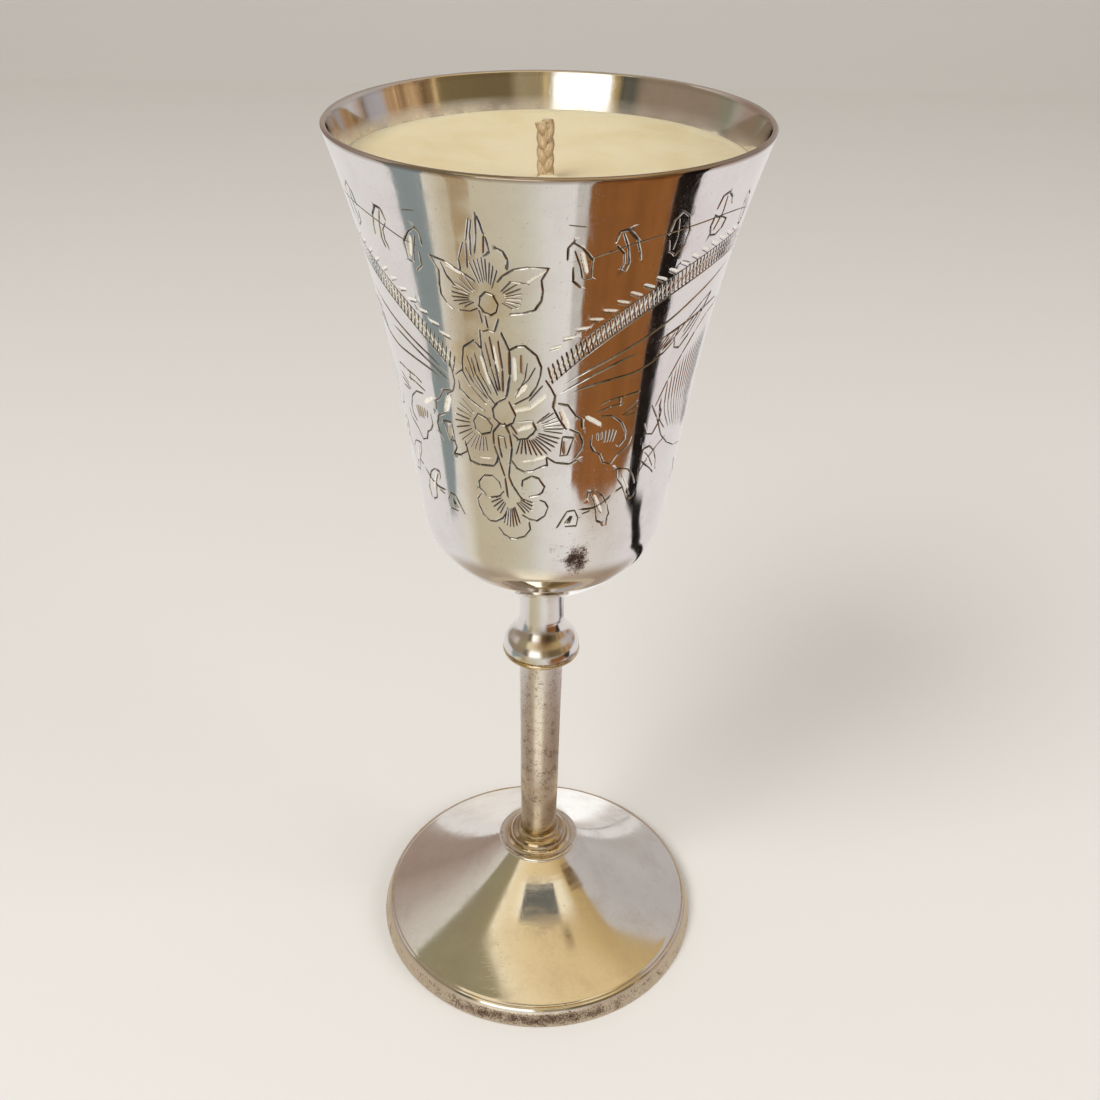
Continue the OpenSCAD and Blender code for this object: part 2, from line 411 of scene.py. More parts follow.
def wax_material():
    """Cream wax: slightly cloudy, a little light passing under its surface."""
    made, n = material("cream_wax", srgb(0.95, 0.91, 0.80))
    mm = n.millimetres()
    cloud = n.noise(mm, 0.07, 4, 0.55, 0.6)
    fine = n.noise(mm, 0.9, 5, 0.6)
    colour = n.mix(n.step(cloud, 0.35, 0.7), srgb(0.875, 0.82, 0.68), srgb(0.85, 0.78, 0.62))
    colour = n.mix(n.step(fine, 0.62, 0.8, 0, 0.35), colour, srgb(0.90, 0.86, 0.74))
    n.surface(in_Base__Color=colour, in_Roughness=n.step(fine, 0.3, 0.7, 0.34, 0.5),
              in_IOR=1.44, in_Normal=n.bump(0.25, 0.0001, n.plus(fine, n.noise(mm, 0.25, 2))),
              in_Subsurface__Weight=0.35, in_Subsurface__Radius=(1.0, 0.75, 0.45),
              in_Subsurface__Scale=0.004)
    return made


def cotton_material():
    """Waxed cotton: threads along the strands, with painted shade in the hollows of the braid."""
    made, n = material("cotton", srgb(0.80, 0.70, 0.54))
    mm = n.millimetres()
    strands = n.noise(n.stretched(mm, (9, 9, 1.6)), 1.0, 4, 0.6)
    blotch = n.noise(mm, 0.8, 3)
    colour = n.mix(n.step(strands, 0.35, 0.68), srgb(0.72, 0.60, 0.44), srgb(0.90, 0.82, 0.68))
    colour = n.mix(n.step(blotch, 0.45, 0.7, 0, 0.4), colour, srgb(0.78, 0.66, 0.48))
    # Painted shade in the braid's hollows.
    colour = n.mix(n.times(n.layer("painted_braid_shade"), 0.8), colour, srgb(0.42, 0.29, 0.17))
    n.surface(in_Base__Color=colour, in_Roughness=0.85, in_Normal=n.bump(0.5, 0.0001, strands),
              in_Sheen__Weight=0.4)
    return made


def plain_material(name, colour, rough):
    """A plain matt material with a fine grain."""
    made, n = material(name, colour)
    where = n.add("ShaderNodeTexCoord").outputs["Object"]
    grain = n.add("ShaderNodeTexNoise", in_Vector=where, in_Scale=900.0, in_Detail=4.0)
    grain = grain.outputs["Fac"]
    n.surface(in_Base__Color=n.mix(grain, colour, darkened(colour, 0.85)),
              in_Roughness=rough, in_Normal=n.bump(0.2, 0.0001, grain))
    return made


# ---------------------------------------------------------------- engraving
#
# A cut is a list of (azimuth, height) points with its width and depth in mm. Azimuth is in
# degrees to the right of the front, height in mm. Two bouquets stand opposite each other,
# a palm stands half-way between them, and roped swags and garlands link them in mirror pairs.

BOUQUET_AT = -14.5          # azimuth of the front bouquet's axis
# A cut is (width, depth, ink): ink 1 is full of oxide, ink below 0 is a bright facet with a painted
# white highlight.
LINE = (0.46, 0.20, 1.0)
HATCH = (0.34, 0.14, 1.0)
GLINT_FLAKE = (0.62, 0.13, -1.0)
GLINT_FACET = (1.15, 0.16, -1.0)
BOLD = (0.55, 0.22, 1.0)
STALK = (0.52, 0.21, 1.0)
RAY = (0.42, 0.18, 1.0)
STREAK = (0.44, 0.18, 1.0)
SPRIG = (0.5, 0.2, 1.0)
GLINT = (0.8, 0.15, -1.0)
FINE_GLINT = (0.7, 0.14, -1.0)


class Engraving:
    """The cuts of one part of the design, with its own run of small irregularities."""

    def __init__(self):
        self.cuts = []
        self.chance = random.Random(7)

    def cut(self, points, style=LINE):
        self.cuts.append((points, *style))

    def chips(self, points, style=LINE, over=0.25):
        """An outline of separate straight cuts that run a little past each other."""
        for (a, h), (b, k) in zip(points, points[1:]):
            run = max(math.hypot((b - a) * 0.49, k - h), 0.1)
            ends = [over * self.chance.uniform(0.2, 1.3) / run for _ in range(2)]
            width = style[0] * self.chance.uniform(0.75, 1.2)
            self.cut([(a - (b - a) * ends[0], h - (k - h) * ends[0]),
                      (b + (b - a) * ends[1], k + (k - h) * ends[1])], (width, *style[1:]))

    def rays(self, centre, gap, ends, style=HATCH):
        """Straight cuts that fan out from a centre, each starting gap of the way along."""
        for a, h in ends:
            start = gap * self.chance.uniform(0.92, 1.08)
            self.cut([(centre[0] + (a - centre[0]) * start, centre[1] + (h - centre[1]) * start),
                      (a, h)], style)

    def loop(self, a, h, wide, tall, lean, style=LINE):
        """A leaf pair: a narrow tilted loop of chips with a rib inside it."""
        ring = []
        for i in range(9):
            t = TURN * i / 8
            x, y = wide * math.sin(t), tall * math.cos(t)
            ring.append((a + x * math.cos(lean) / 0.5 + y * math.sin(lean) / 0.5,
                         h - x * math.sin(lean) + y * math.cos(lean)))
        self.chips(ring, style, 0.1)
        rib = [(a + y * tall * math.sin(lean) / 0.5, h + y * tall * math.cos(lean))
               for y in (-0.75, 0.7)]
        self.cut(rib, (style[0] * 0.8, style[1] * 0.8, style[2]))


def top_flower(e):
    e.chips([(-18.6, 159.2), (-16.9, 160.2), (-14.8, 159.8), (-13.5, 158.3), (-14.2, 156.9),
        (-15.8, 156.3), (-17.8, 156.6), (-19.2, 157.6), (-18.6, 159.2)])
    e.chips([(-13.2, 162), (-11.8, 163), (-8.6, 164.3), (-4.6, 164.8), (0.9, 164.7)])
    e.chips([(0.4, 164.6), (-1.3, 162.8), (-0.9, 160.9), (-1.3, 159.4), (-3.2, 157.7),
        (-6.2, 157.1), (-10.2, 156.8)])
    e.cut([(0.1, 164.5), (-5.4, 162.1)], GLINT_FLAKE)
    e.chips([(-10, 162.3), (-6.8, 162.2), (-5, 162)], HATCH)
    e.rays((-14.5, 159.2), 0.35, [(-9.3, 162.4), (-7.6, 162), (-6.6, 161.3), (-6.4, 160.4),
        (-6.4, 159.5), (-6.8, 158.6), (-7.6, 157.9), (-9, 157.6)])
    e.chips([(-32.4, 164.7), (-30.3, 162.6), (-30.9, 160.2), (-31, 158.5), (-29.6, 157.2),
        (-27.4, 156.3)])
    e.chips([(-32.2, 164.8), (-27.6, 164.3), (-23.9, 163.2), (-19.6, 161.7)])
    e.cut([(-28.2, 163.7), (-22.3, 162.5)], GLINT_FLAKE)
    e.chips([(-29.2, 163.9), (-28.1, 162), (-25.8, 160.3)])
    e.chips([(-25.4, 156.4), (-22.2, 156.5), (-19.6, 157.2)], HATCH)
    e.rays((-18.4, 158.9), 0.33, [(-22.6, 162.4), (-24.6, 161.9), (-26.3, 161.2), (-27.4, 160.3),
        (-27.9, 159.4), (-27.9, 158.5), (-27.3, 157.8), (-25.8, 157.3), (-24, 157)])
    e.rays((-16.4, 158.3), 0.42, [(-20.6, 165), (-19.4, 165.6), (-18.2, 165.9), (-17, 166.2),
        (-15.9, 166), (-14.8, 165.4), (-13.9, 164.9), (-12.9, 164.2)])
    for spike in ([(-23.3, 162.4), (-23.4, 165), (-21.4, 168)],
                  [(-21.2, 163.5), (-20.6, 168), (-19, 172)],
                  [(-19.7, 165.8), (-19.2, 169.5), (-18.4, 171.6)],
                  [(-18.6, 166.2), (-17.6, 169.3), (-17.2, 172.8)],
                  [(-16.2, 166.5), (-15.6, 169.5), (-16.9, 172.4)],
                  [(-15.9, 166.2), (-14.6, 166.9), (-15.3, 169.2)]):
        e.chips(spike)
    e.chips([(-12.6, 167.5), (-11, 167), (-10, 165.8), (-10.4, 164.1)], LINE, 0.05)
    e.chips([(-19.4, 156.9), (-18.8, 154.9)])
    e.chips([(-17.7, 156.1), (-17.2, 154.1)])
    e.chips([(-13.8, 155.7), (-15.1, 153.7)])
    e.chips([(-18.9, 153.3), (-17, 153.7), (-15.3, 153.4)], HATCH)


def main_flower(e):
    e.chips([(-17.9, 139.4), (-15.9, 140.8), (-13, 141.7)])
    e.chips([(-11.9, 141.1), (-9.9, 138.7), (-10.9, 137.2), (-12.7, 136.6), (-15.6, 136.7),
        (-17.6, 137.7), (-17.9, 139.4)])
    # Upper petals with long streaks.
    e.chips([(-19.8, 153.6), (-20, 150), (-18.7, 146), (-15.7, 141.9)])
    e.chips([(-17, 152.7), (-15.9, 148), (-14.8, 142.9)])
    e.chips([(-13.4, 153.7), (-11, 150.4), (-11.2, 146), (-12.9, 141.8)], BOLD)
    e.chips([(-22, 151.6), (-26.1, 149.9), (-27.3, 147.2), (-27.6, 145.4)])
    e.chips([(-24, 148.4), (-22.9, 145.4), (-19.1, 141.7), (-16.9, 140.3)])
    e.chips([(-21.6, 151), (-20.2, 150.3)])
    e.chips([(-27.9, 145.6), (-25.4, 143), (-20, 140.1)])
    e.chips([(-29.8, 143.6), (-29.6, 142), (-26, 140.4), (-20.9, 138.8)])
    e.chips([(-32.2, 146.2), (-31.4, 143), (-32.6, 141.2), (-35.6, 140.1)])
    e.chips([(-30.2, 144.6), (-27.9, 145.6)], HATCH)
    e.chips([(-11, 150.5), (-8.6, 151.3), (-6.3, 151.5), (-2.6, 149.8), (-1.2, 147.8),
        (-1.5, 146.3), (-2.7, 144.3), (-5.2, 142.3), (-10.2, 140.7)])
    e.cut([(-7.3, 150.2), (-7.4, 146.3)], (0.55, 0.15, 0.6))
    e.chips([(-5.6, 148.4), (-6.4, 145.6), (-9.6, 142.2)], HATCH)
    e.chips([(-22.6, 149.2), (-21.4, 145.8), (-18, 142.2)], STREAK)
    e.chips([(-18.6, 151.6), (-17.3, 147), (-15.4, 142.6)], (0.40, 0.17, 1.0))
    e.chips([(-14.4, 152.4), (-13.5, 147), (-13.8, 142.8)], STREAK)
    e.chips([(-25.4, 148.6), (-23.6, 144.6), (-19.6, 141.3)], HATCH)
    e.chips([(-26.6, 146.4), (-23.8, 143.4), (-19, 140.9)], HATCH)
    e.cut([(-20.6, 149.2), (-18, 143.6)], (0.8, 0.14, -1.0))
    e.cut([(-16, 151.4), (-14.9, 146)], FINE_GLINT)
    e.cut([(-9.6, 149.6), (-9.4, 144.8)], (0.9, 0.15, -1.0))
    e.chips([(-9, 143.4), (-5.4, 145.4), (-3.2, 147.6)], HATCH)
    e.chips([(0.3, 145.4), (2, 144), (3.3, 142.6), (2.8, 140.5), (4.9, 138.3), (7.6, 136.3)], BOLD)
    e.chips([(-5.2, 141.6), (-0.9, 144.4)])
    for facet in ([(-10, 139.5), (-4.8, 140.2)], [(-4.6, 140.3), (-0.2, 142.4)],
                  [(-9.4, 142.2), (-5.9, 144.4)], [(-8.6, 136), (-4.6, 136.9)]):
        e.cut(facet, GLINT_FACET)


def main_flower_sides(e):
    """The main flower's hatched side petals."""
    e.rays((-4.6, 136.4), 0.36, [(0.2, 138.9), (1.9, 139.6), (3.4, 139.6), (4.6, 138.7),
        (5.7, 138), (6.7, 137.2), (7.4, 136.4), (6.9, 135.5)])
    e.rays((-7.2, 136.2), 0.36, [(6, 134.5), (5.2, 133.6), (4.1, 132.8), (2.8, 132), (1.4, 131.4),
        (-0.4, 131.1), (-2.3, 131), (-4.4, 131.1), (-6.4, 131.2), (-8.3, 131.2), (-10.2, 131.1)],
        RAY)
    e.chips([(-3.9, 137.6), (-2.9, 136.4), (-4.2, 135.2)])
    e.chips([(-4.3, 135.4), (-6.1, 134.4), (-9.1, 134.1), (-10.6, 134.8)])
    e.chips([(-11.9, 137), (-9.5, 135.1)])
    e.chips([(-9.2, 137.5), (-3.9, 138)], HATCH)
    e.chips([(-25.6, 136.4), (-23.6, 138), (-20.6, 137.4), (-18.4, 136.2), (-19.4, 134.8),
        (-22.9, 134.1), (-25.1, 135), (-25.6, 136.4)])
    e.rays((-21.8, 136.2), 0.42, [(-29.6, 140.4), (-31.2, 139.4), (-32.4, 138.2), (-33.3, 137),
        (-33.7, 135.7), (-33.5, 134.3), (-32.9, 133), (-31.8, 131.9), (-30.2, 131), (-28.3, 130.7),
        (-26.4, 130.6), (-24.6, 130.5), (-22.8, 130.6), (-21, 130.8)])
    e.chips([(-30.3, 132), (-29.4, 129.8), (-28.8, 128.3), (-25, 128), (-19.1, 128.3),
        (-17.5, 129.3), (-17.3, 130.5)])
    e.cut([(-24.3, 129.5), (-19.8, 129.7)], GLINT_FLAKE)
    e.chips([(-36.2, 132.2), (-34.3, 130.2), (-36, 128.7), (-33, 128.9), (-29.8, 130)])
    e.chips([(-12.2, 130.1), (-9.8, 128.4), (-7.4, 127.9), (-4, 128.2), (-1, 129), (1, 129.4)])
    e.chips([(0.8, 131), (4, 129.9), (9.3, 129.5), (11.8, 130)])
    e.chips([(0.9, 130.9), (1.3, 129.2)])
    e.cut([(-3.9, 130.2), (0.6, 131.1)], (0.95, 0.15, -1.0))
    e.cut([(-8, 129.8), (-4.2, 130.2)], GLINT_FLAKE)


def low_flower(e):
    e.chips([(-15.6, 136.9), (-18.3, 135), (-18.3, 132.5), (-16.5, 129.4), (-14.7, 126.4),
        (-13.9, 122.2)], STALK)
    e.chips([(-14, 137), (-12.2, 135), (-11.6, 132.4), (-12.7, 129), (-13.2, 126.7),
        (-11.9, 124.9), (-9.5, 123), (-7.9, 122.1)], STALK)
    e.chips([(-16.5, 134.2), (-16.2, 132), (-15.5, 130.3)])
    e.chips([(-16.4, 134.4), (-14.3, 134.3), (-13.6, 132)], HATCH)
    e.chips([(-19.8, 126.3), (-23.3, 126), (-25.9, 124.4), (-25.8, 123.1), (-23.6, 122.3)])
    e.chips([(-19.8, 126.3), (-17.2, 125.2), (-16.6, 124)], HATCH)
    e.chips([(-19, 121.9), (-17.3, 122.4), (-15.4, 123.5)])
    e.chips([(-8.2, 125), (-8, 126.1), (-4.6, 127.1), (-1.9, 126.7), (0.4, 125), (-0.6, 123.8),
        (-2, 123.3), (-5.2, 122.9)])
    e.chips([(-25.4, 121.9), (-27.3, 120.8), (-26.8, 119.4), (-25.5, 118), (-22.6, 116.7),
        (-19.8, 116.8), (-16.6, 117.8), (-15.2, 118.8)])
    e.chips([(-1, 122.2), (0.6, 121.9), (1.9, 120.8), (0.6, 119), (-2.4, 117.9), (-5.6, 118.2),
        (-8.4, 119)])
    e.chips([(-18.6, 115.7), (-16.4, 114.3), (-14.6, 113.8), (-11.4, 113.7), (-7.6, 114.4),
        (-5.1, 116), (-5.5, 117.4)])
    e.rays((-13, 123), 0.38, [(-22, 121.6), (-21.6, 120.6), (-20.6, 119.7), (-19.2, 119),
        (-17.7, 118.6), (-16.2, 116.6), (-14.9, 116.2), (-13.5, 116), (-12, 116), (-10.5, 116.3),
        (-9.2, 116.9), (-6.9, 119.2), (-5.4, 119.5), (-4.2, 120), (-3.6, 120.8), (-3.6, 121.6)],
        RAY)


def rope(a):
    """Middle height of the roped swag at azimuth a, right of the front bouquet."""
    t = (a - 1) / 75
    return 146 + 38.8 * t - 22.1 * t * t


def swag(e):
    """The roped swag from the bouquet to the palm on its right, and its streamers."""
    e.cut([(a, rope(a) - 1.7) for a in range(1, 76, 4)], (0.32, 0.14, 1.0))
    e.cut([(a, rope(a) + 1.7) for a in range(9, 76, 4)], (0.26, 0.11, 1.0))
    for i in range(54):
        a = 1.6 + i * 1.36
        e.cut([(a - 0.9, rope(a) + 1.75), (a + 1.0, rope(a) - 1.6)], (0.44, 0.19, 1.0))
        e.cut([(a - 0.1, rope(a) - 1.2), (a + 0.9, rope(a) + 1.4)], (0.34, 0.13, -1.0))
    for i in range(17):
        a = 3.2 + i * 3.75
        rise = 4.3 - 1.5 * min(i / 8, 1)
        tilt = 0.3 - 0.75 * min(i / 6, 1)
        e.cut([(a - 2.1, rope(a) + rise - tilt), (a + 1.9, rope(a) + rise + tilt)], GLINT_FLAKE)
        e.cut([(a - 2.1, rope(a) + rise - tilt - 0.42), (a + 1.2, rope(a) + rise + tilt - 0.42)],
              (0.24, 0.1, 0.9))
    e.cut([(4, 143.8), (10, 146), (20, 148.6), (30, 151), (40, 153.4), (50, 156), (62, 158.4),
        (70, 159.6)])
    e.cut([(4.5, 142.9), (12, 145.2), (20, 147.1), (26, 148.3), (31, 148.9)])
    e.cut([(8, 143), (14, 144.1), (22, 144.9), (30, 145.4), (37, 146.6), (42, 148)])
    e.cut([(37, 150), (45, 151.4), (54, 152.4), (64, 153.2), (70, 153)])
    e.chips([(37.8, 147), (39.6, 149.6), (42, 150.8), (46, 151.3), (44.4, 149), (41, 147.6),
        (37.8, 147)])
    e.rays((38, 147.4), 0.3, [(44.8, 150.8), (44.6, 150), (43.6, 149.3), (42.2, 150.4)])
    e.chips([(45, 149.8), (45.8, 147.8), (48.4, 147.4), (52.4, 149.2), (57, 152), (61, 155.4)])
    e.chips([(45.4, 150), (50, 152.4), (56, 154.4), (61, 155.4)], HATCH)
    e.cut([(47.6, 148.6), (53, 151), (57.4, 153.6)], HATCH)
    e.cut([(48.6, 150), (53.4, 152.4)], HATCH)


def side_flower(e):
    """The small flower beside the bouquet, under the swag."""
    e.chips([(4.6, 141.2), (7.8, 140.8), (10.8, 138.7), (12.8, 138), (13.4, 136.2)], (0.55, 0.2,
        0.8))
    e.cut([(5.4, 140.2), (8.3, 136.6)], (1.3, 0.16, -1.0))
    e.chips([(9, 136.2), (12.4, 135.3), (13.7, 133.7), (13.4, 132.3), (11, 130.5)])
    e.chips([(6.4, 134.9), (10.4, 134.6), (8.4, 131.3), (5.8, 131.2), (6.4, 134.9)])
    e.cut([(7.2, 134.2), (7.6, 131.6)], (1.2, 0.14, 0.35))
    e.cut([(13.8, 138.5), (20, 136.4)], (1.1, 0.15, -1.0))
    e.chips([(17, 134.9), (16.7, 132.8), (18.6, 131.4), (20.8, 130.7), (22.4, 129),
        (25.2, 128.4)])
    e.rays((22, 127), 0.74, [(18.8, 135.2), (20.4, 135.3), (21.9, 135.4), (23.4, 135.4),
        (24.8, 135.3), (26.2, 135)], (0.46, 0.18, 0.9))
    e.chips([(19.4, 138.2), (24, 137.9), (28, 136.3), (30.2, 134.3), (30.4, 132.7),
        (28.3, 131.7)])
    e.chips([(25.6, 128.4), (28, 130), (32.6, 131.4), (33.4, 133)])
    e.chips([(18.8, 140.3), (22, 141), (28, 141.3), (34, 141.5)])
    e.chips([(17.9, 139), (23, 139.8), (27.4, 139.9)])
    e.chips([(26, 141), (26.3, 139.8)])
    e.rays((24, 137), 0.5, [(31, 138.1), (33.6, 139.9), (34.2, 138.8), (33.8, 137.5)])


def rim_garland(e):
    """The garland of leaf loops under the rim."""
    e.cut([(4.6, 165.6), (11, 166.2), (20, 167.7), (28, 168.6), (38, 169.2), (50, 169.5),
        (58, 169.2), (66, 168.4), (74.5, 167)], (0.26, 0.11, 0.9))
    e.cut([(4.8, 171.6), (9.6, 171.2)], (0.24, 0.1, 0.8))
    e.chips([(5.2, 166), (5.2, 168), (6.4, 168.8), (9, 167.8), (11.6, 166)])
    e.chips([(11.5, 166), (11.7, 163), (10.6, 162.9)], HATCH)
    e.chips([(6.8, 164.8), (7, 162.6), (8.8, 161.7)])
    e.chips([(7, 167.4), (8.6, 165), (9.4, 163)], HATCH)
    e.cut([(8.6, 167.4), (10.4, 163.6)], FINE_GLINT)
    e.chips([(17, 168.4), (17.8, 170.2), (20, 170.4), (22.6, 168.8), (24.2, 166.6),
        (24.8, 165.2)])
    e.chips([(17.6, 168), (19.8, 166.6), (20.2, 165), (19.6, 164.2)], HATCH)
    e.chips([(18.8, 169.8), (20.6, 167.6), (21.6, 165), (21, 163.8)])
    e.chips([(31.8, 168.6), (32.4, 170.8), (34.6, 172), (37, 171), (38.4, 168.8), (38.2, 166.4),
        (35.6, 165)])
    e.chips([(32.4, 167.6), (33.2, 165.8), (35.6, 165)], HATCH)
    e.chips([(33.8, 171), (34.8, 168), (34.4, 166)], HATCH)
    e.chips([(47, 170.8), (48, 172.8), (50.2, 173.2), (52.4, 172.2), (53.6, 171)])
    e.chips([(47, 170), (48.8, 169.4), (51, 169.2), (53.4, 168.6), (52.6, 167.2), (50.2, 166.4),
        (48, 166.6), (46.8, 168.2), (47.2, 169.6)])
    e.chips([(50, 172.6), (50.4, 170), (48.6, 167.4)], HATCH)
    e.loop(65, 168.6, 0.9, 3.0, -0.2)


def low_garland(e):
    """The garland below the side flower."""
    e.chips([(5.4, 116.2), (9.6, 119.8), (12.6, 119.9), (14.2, 118.2), (13.8, 116.6), (9, 116.6)])
    e.rays((12.4, 119.6), 0.3, [(8.6, 117.2), (9.6, 117), (10.6, 117)], (0.42, 0.16, 1.0))
    e.cut([(14, 120), (20, 119.9), (24, 120.5), (29, 122.2)], SPRIG)
    e.cut([(15.6, 119), (19.4, 119.4)], (0.40, 0.16, 1.0))
    e.chips([(17.4, 122), (17.6, 123.2), (20.4, 123.4), (23.8, 122.2), (26, 120.4)])
    e.chips([(18.8, 122.6), (20.6, 121), (21.8, 118.8), (22.4, 117), (24.6, 116.4)])
    e.chips([(26.6, 120), (27.8, 118), (27.2, 116.9)], SPRIG)
    e.cut([(20, 122.8), (24.4, 118.4)], GLINT)
    e.cut([(29.6, 122.4), (33, 123)], SPRIG)
    e.chips([(28.8, 127), (30.6, 126.9), (34, 126.4), (37, 124.8), (38.8, 122.8)])
    e.chips([(28.9, 126.8), (29.6, 125), (32.4, 123.2), (34.6, 121.2), (35.6, 120.2),
        (38.6, 120)])
    e.chips([(31, 126), (34, 123.4), (36.6, 121)], HATCH)
    e.cut([(31.4, 125.6), (35.8, 122)], GLINT)
    e.cut([(38.8, 123.6), (42, 126.2), (48, 128.8), (54, 130.2)], (0.36, 0.14, 1.0))
    e.chips([(39.8, 127.6), (40.4, 129.4), (43.4, 129.6), (47, 128.2), (49.4, 126),
        (50.6, 123.8)])
    e.chips([(40.6, 127), (43.4, 125.8), (46.6, 124.6), (49.2, 123.4)])
    e.chips([(41.6, 128.6), (45, 127), (48, 124.8)], HATCH)
    e.cut([(41.8, 128.6), (46, 126)], FINE_GLINT)


def half_palm(e):
    """The half of a palm that faces the bouquet on its left; its axis is 90 degrees on."""
    axis = 90 + BOUQUET_AT
    e.chips([(42.6, 137.4), (46.6, 141.8), (51.6, 145.8), (57, 149), (63, 151.2), (axis, 152)])
    e.chips([(40.6, 138), (44.8, 135), (50, 130.6), (56, 128.1), (63.4, 126.2),
        (axis - 1, 124.6)])
    for i in range(15):
        t = i / 14
        start = (45 + 24 * t, 139.4 + 10 * math.sqrt(t))
        end = (52 + (axis - 53) * t ** 0.8, 131.4 - 4 * t)
        bend = ((start[0] + end[0]) / 2 - 2.2, (start[1] + end[1]) / 2 - 0.6)
        e.cut([start, bend, end], HATCH)
    e.chips([(38.8, 134.6), (40.6, 132.4), (43.8, 131.9), (46.4, 133.8), (46.6, 136),
        (45, 137.3)])
    e.chips([(axis - 5.5, 164), (axis - 3.6, 160.4), (axis - 1, 157)])
    e.chips([(axis - 6, 122.4), (axis - 3, 119.6), (axis, 118.6)])
    e.rays((axis, 121), 0.4, [(axis - 7.4, 119.4), (axis - 5.4, 117.6), (axis - 3, 116.4)])


def all_cuts():
    """The whole design: each motif, its mirror image and their copies on the back."""
    bouquet, side = Engraving(), Engraving()
    for motif in (top_flower, main_flower, main_flower_sides, low_flower):
        motif(bouquet)
    for motif in (swag, side_flower, rim_garland, low_garland, half_palm):
        motif(side)
    made = []
    for turn in (0, 180):
        for points, *style in bouquet.cuts:
            made.append(([(a + turn, h) for a, h in points], *style))
        for points, *style in side.cuts:
            made.append(([(a + turn, h) for a, h in points], *style))
            made.append(([(2 * BOUQUET_AT - a + turn, h) for a, h in points], *style))
    return made


# ---------------------------------------------------------------- bowl

BAND_LOW, BAND_HIGH = 112.5, 175.0   # heights between which the bowl is engraved
COLUMNS = 272                        # vertices round the bowl
SEAM = -180 + 33.0                   # azimuth where the flat layout begins and ends
DEGREE = math.radians(1) * 28.0      # mm of skin per degree, for the flat layout


def straight_or_curved(points):
    """Stations along a cut as (azimuth, height, share of full width)."""
    pts = np.array(points, float)
    if len(pts) > 2:
        flat = pts * (DEGREE, 1)
        fine = smoothed(flat, False, 1.3, 179) / (DEGREE, 1)
        run = np.linspace(0, 1, len(fine))
        share = np.minimum(1, np.minimum(run, 1 - run) * 8)
        return np.column_stack([fine, share])
    at = np.array([0, 0.10, 0.5, 0.90, 1.0])[:, None]
    return np.column_stack([pts[0] + (pts[1] - pts[0]) * at, [0, 0.8, 1.0, 0.9, 0]])


def groove_lines(cuts, low, high):
    """Points, edges and depth segments of every cut on the flat layout."""
    points, edges, segments = [], [], []
    for cut_points, width, depth, ink in cuts:
        stations = straight_or_curved(cut_points)
        stations[:, 0] = (stations[:, 0] - stations[0, 0]) + \
            (stations[0, 0] - low) % 360 + low
        for shift in (0, -360, 360):
            xs = (stations[:, 0] + shift) * DEGREE
            if xs.max() < low * DEGREE or xs.min() > high * DEGREE:
                continue
            mid = np.column_stack([xs, stations[:, 1]])
            run = np.gradient(mid, axis=0)
            run /= np.maximum(np.hypot(*run.T), 1e-9)[:, None]
            side = np.column_stack([-run[:, 1], run[:, 0]]) * stations[:, 2:] * width / 2
            first, last = len(points), len(points) + 1
            points += [mid[0], mid[-1]]
            for offset in (-1, 0, 1):
                row = list(range(len(points), len(points) + len(mid) - 2))
                points += list((mid + side * offset)[1:-1])
                chain = [first, *row, last]
                edges += list(zip(chain, chain[1:]))
            for i in range(len(mid) - 1):
                segments.append((*mid[i], *mid[i + 1], stations[i, 2] * width / 2,
                                 stations[i + 1, 2] * width / 2, depth, ink, width))
    return points, edges, segments


def depths_at(places, segments):
    """Depth of the engraving, and how dark it is, at each point of the flat layout."""
    order = np.argsort(places[:, 0])
    xs = places[order, 0]
    depth, dark = np.zeros(len(places)), np.zeros(len(places))
    for x0, y0, x1, y1, w0, w1, d, ink, width in segments:
        reach = max(w0, w1) + 0.02
        a = np.searchsorted(xs, min(x0, x1) - reach)
        b = np.searchsorted(xs, max(x0, x1) + reach)
        some = order[a:b]
        p = places[some]
        along = np.array([x1 - x0, y1 - y0])
        t = np.clip(((p - (x0, y0)) @ along) / max(along @ along, 1e-12), 0, 1)
        away = np.hypot(*(p - (x0, y0) - t[:, None] * along).T)
        half = np.maximum(w0 + (w1 - w0) * t, 1e-6)
        part = np.clip(1 - away / half, 0, 1) * np.minimum(1, 2 * half / width)
        hit = part > 0.03
        some, part = some[hit], part[hit]
        depth[some] = np.maximum(depth[some], d * part)
        shade = ink * np.minimum(1, part * 2.2)
        dark[some] = np.where(np.abs(shade) > np.abs(dark[some]), shade, dark[some])
    return depth, dark


def bowl_outline():
    """The bowl's corners from the seat up the outside to the rim, and down the inside."""
    outline, _ = outline_of("bowl")
    return outline[::-1] if outline[0][1] > outline[-1][1] else outline


def on_axis(r, z, turns):
    """Points (or directions) at radius r and height z, at each of the turns in radians."""
    return np.column_stack([r * np.sin(turns), -r * np.cos(turns), z * np.ones(len(turns))])


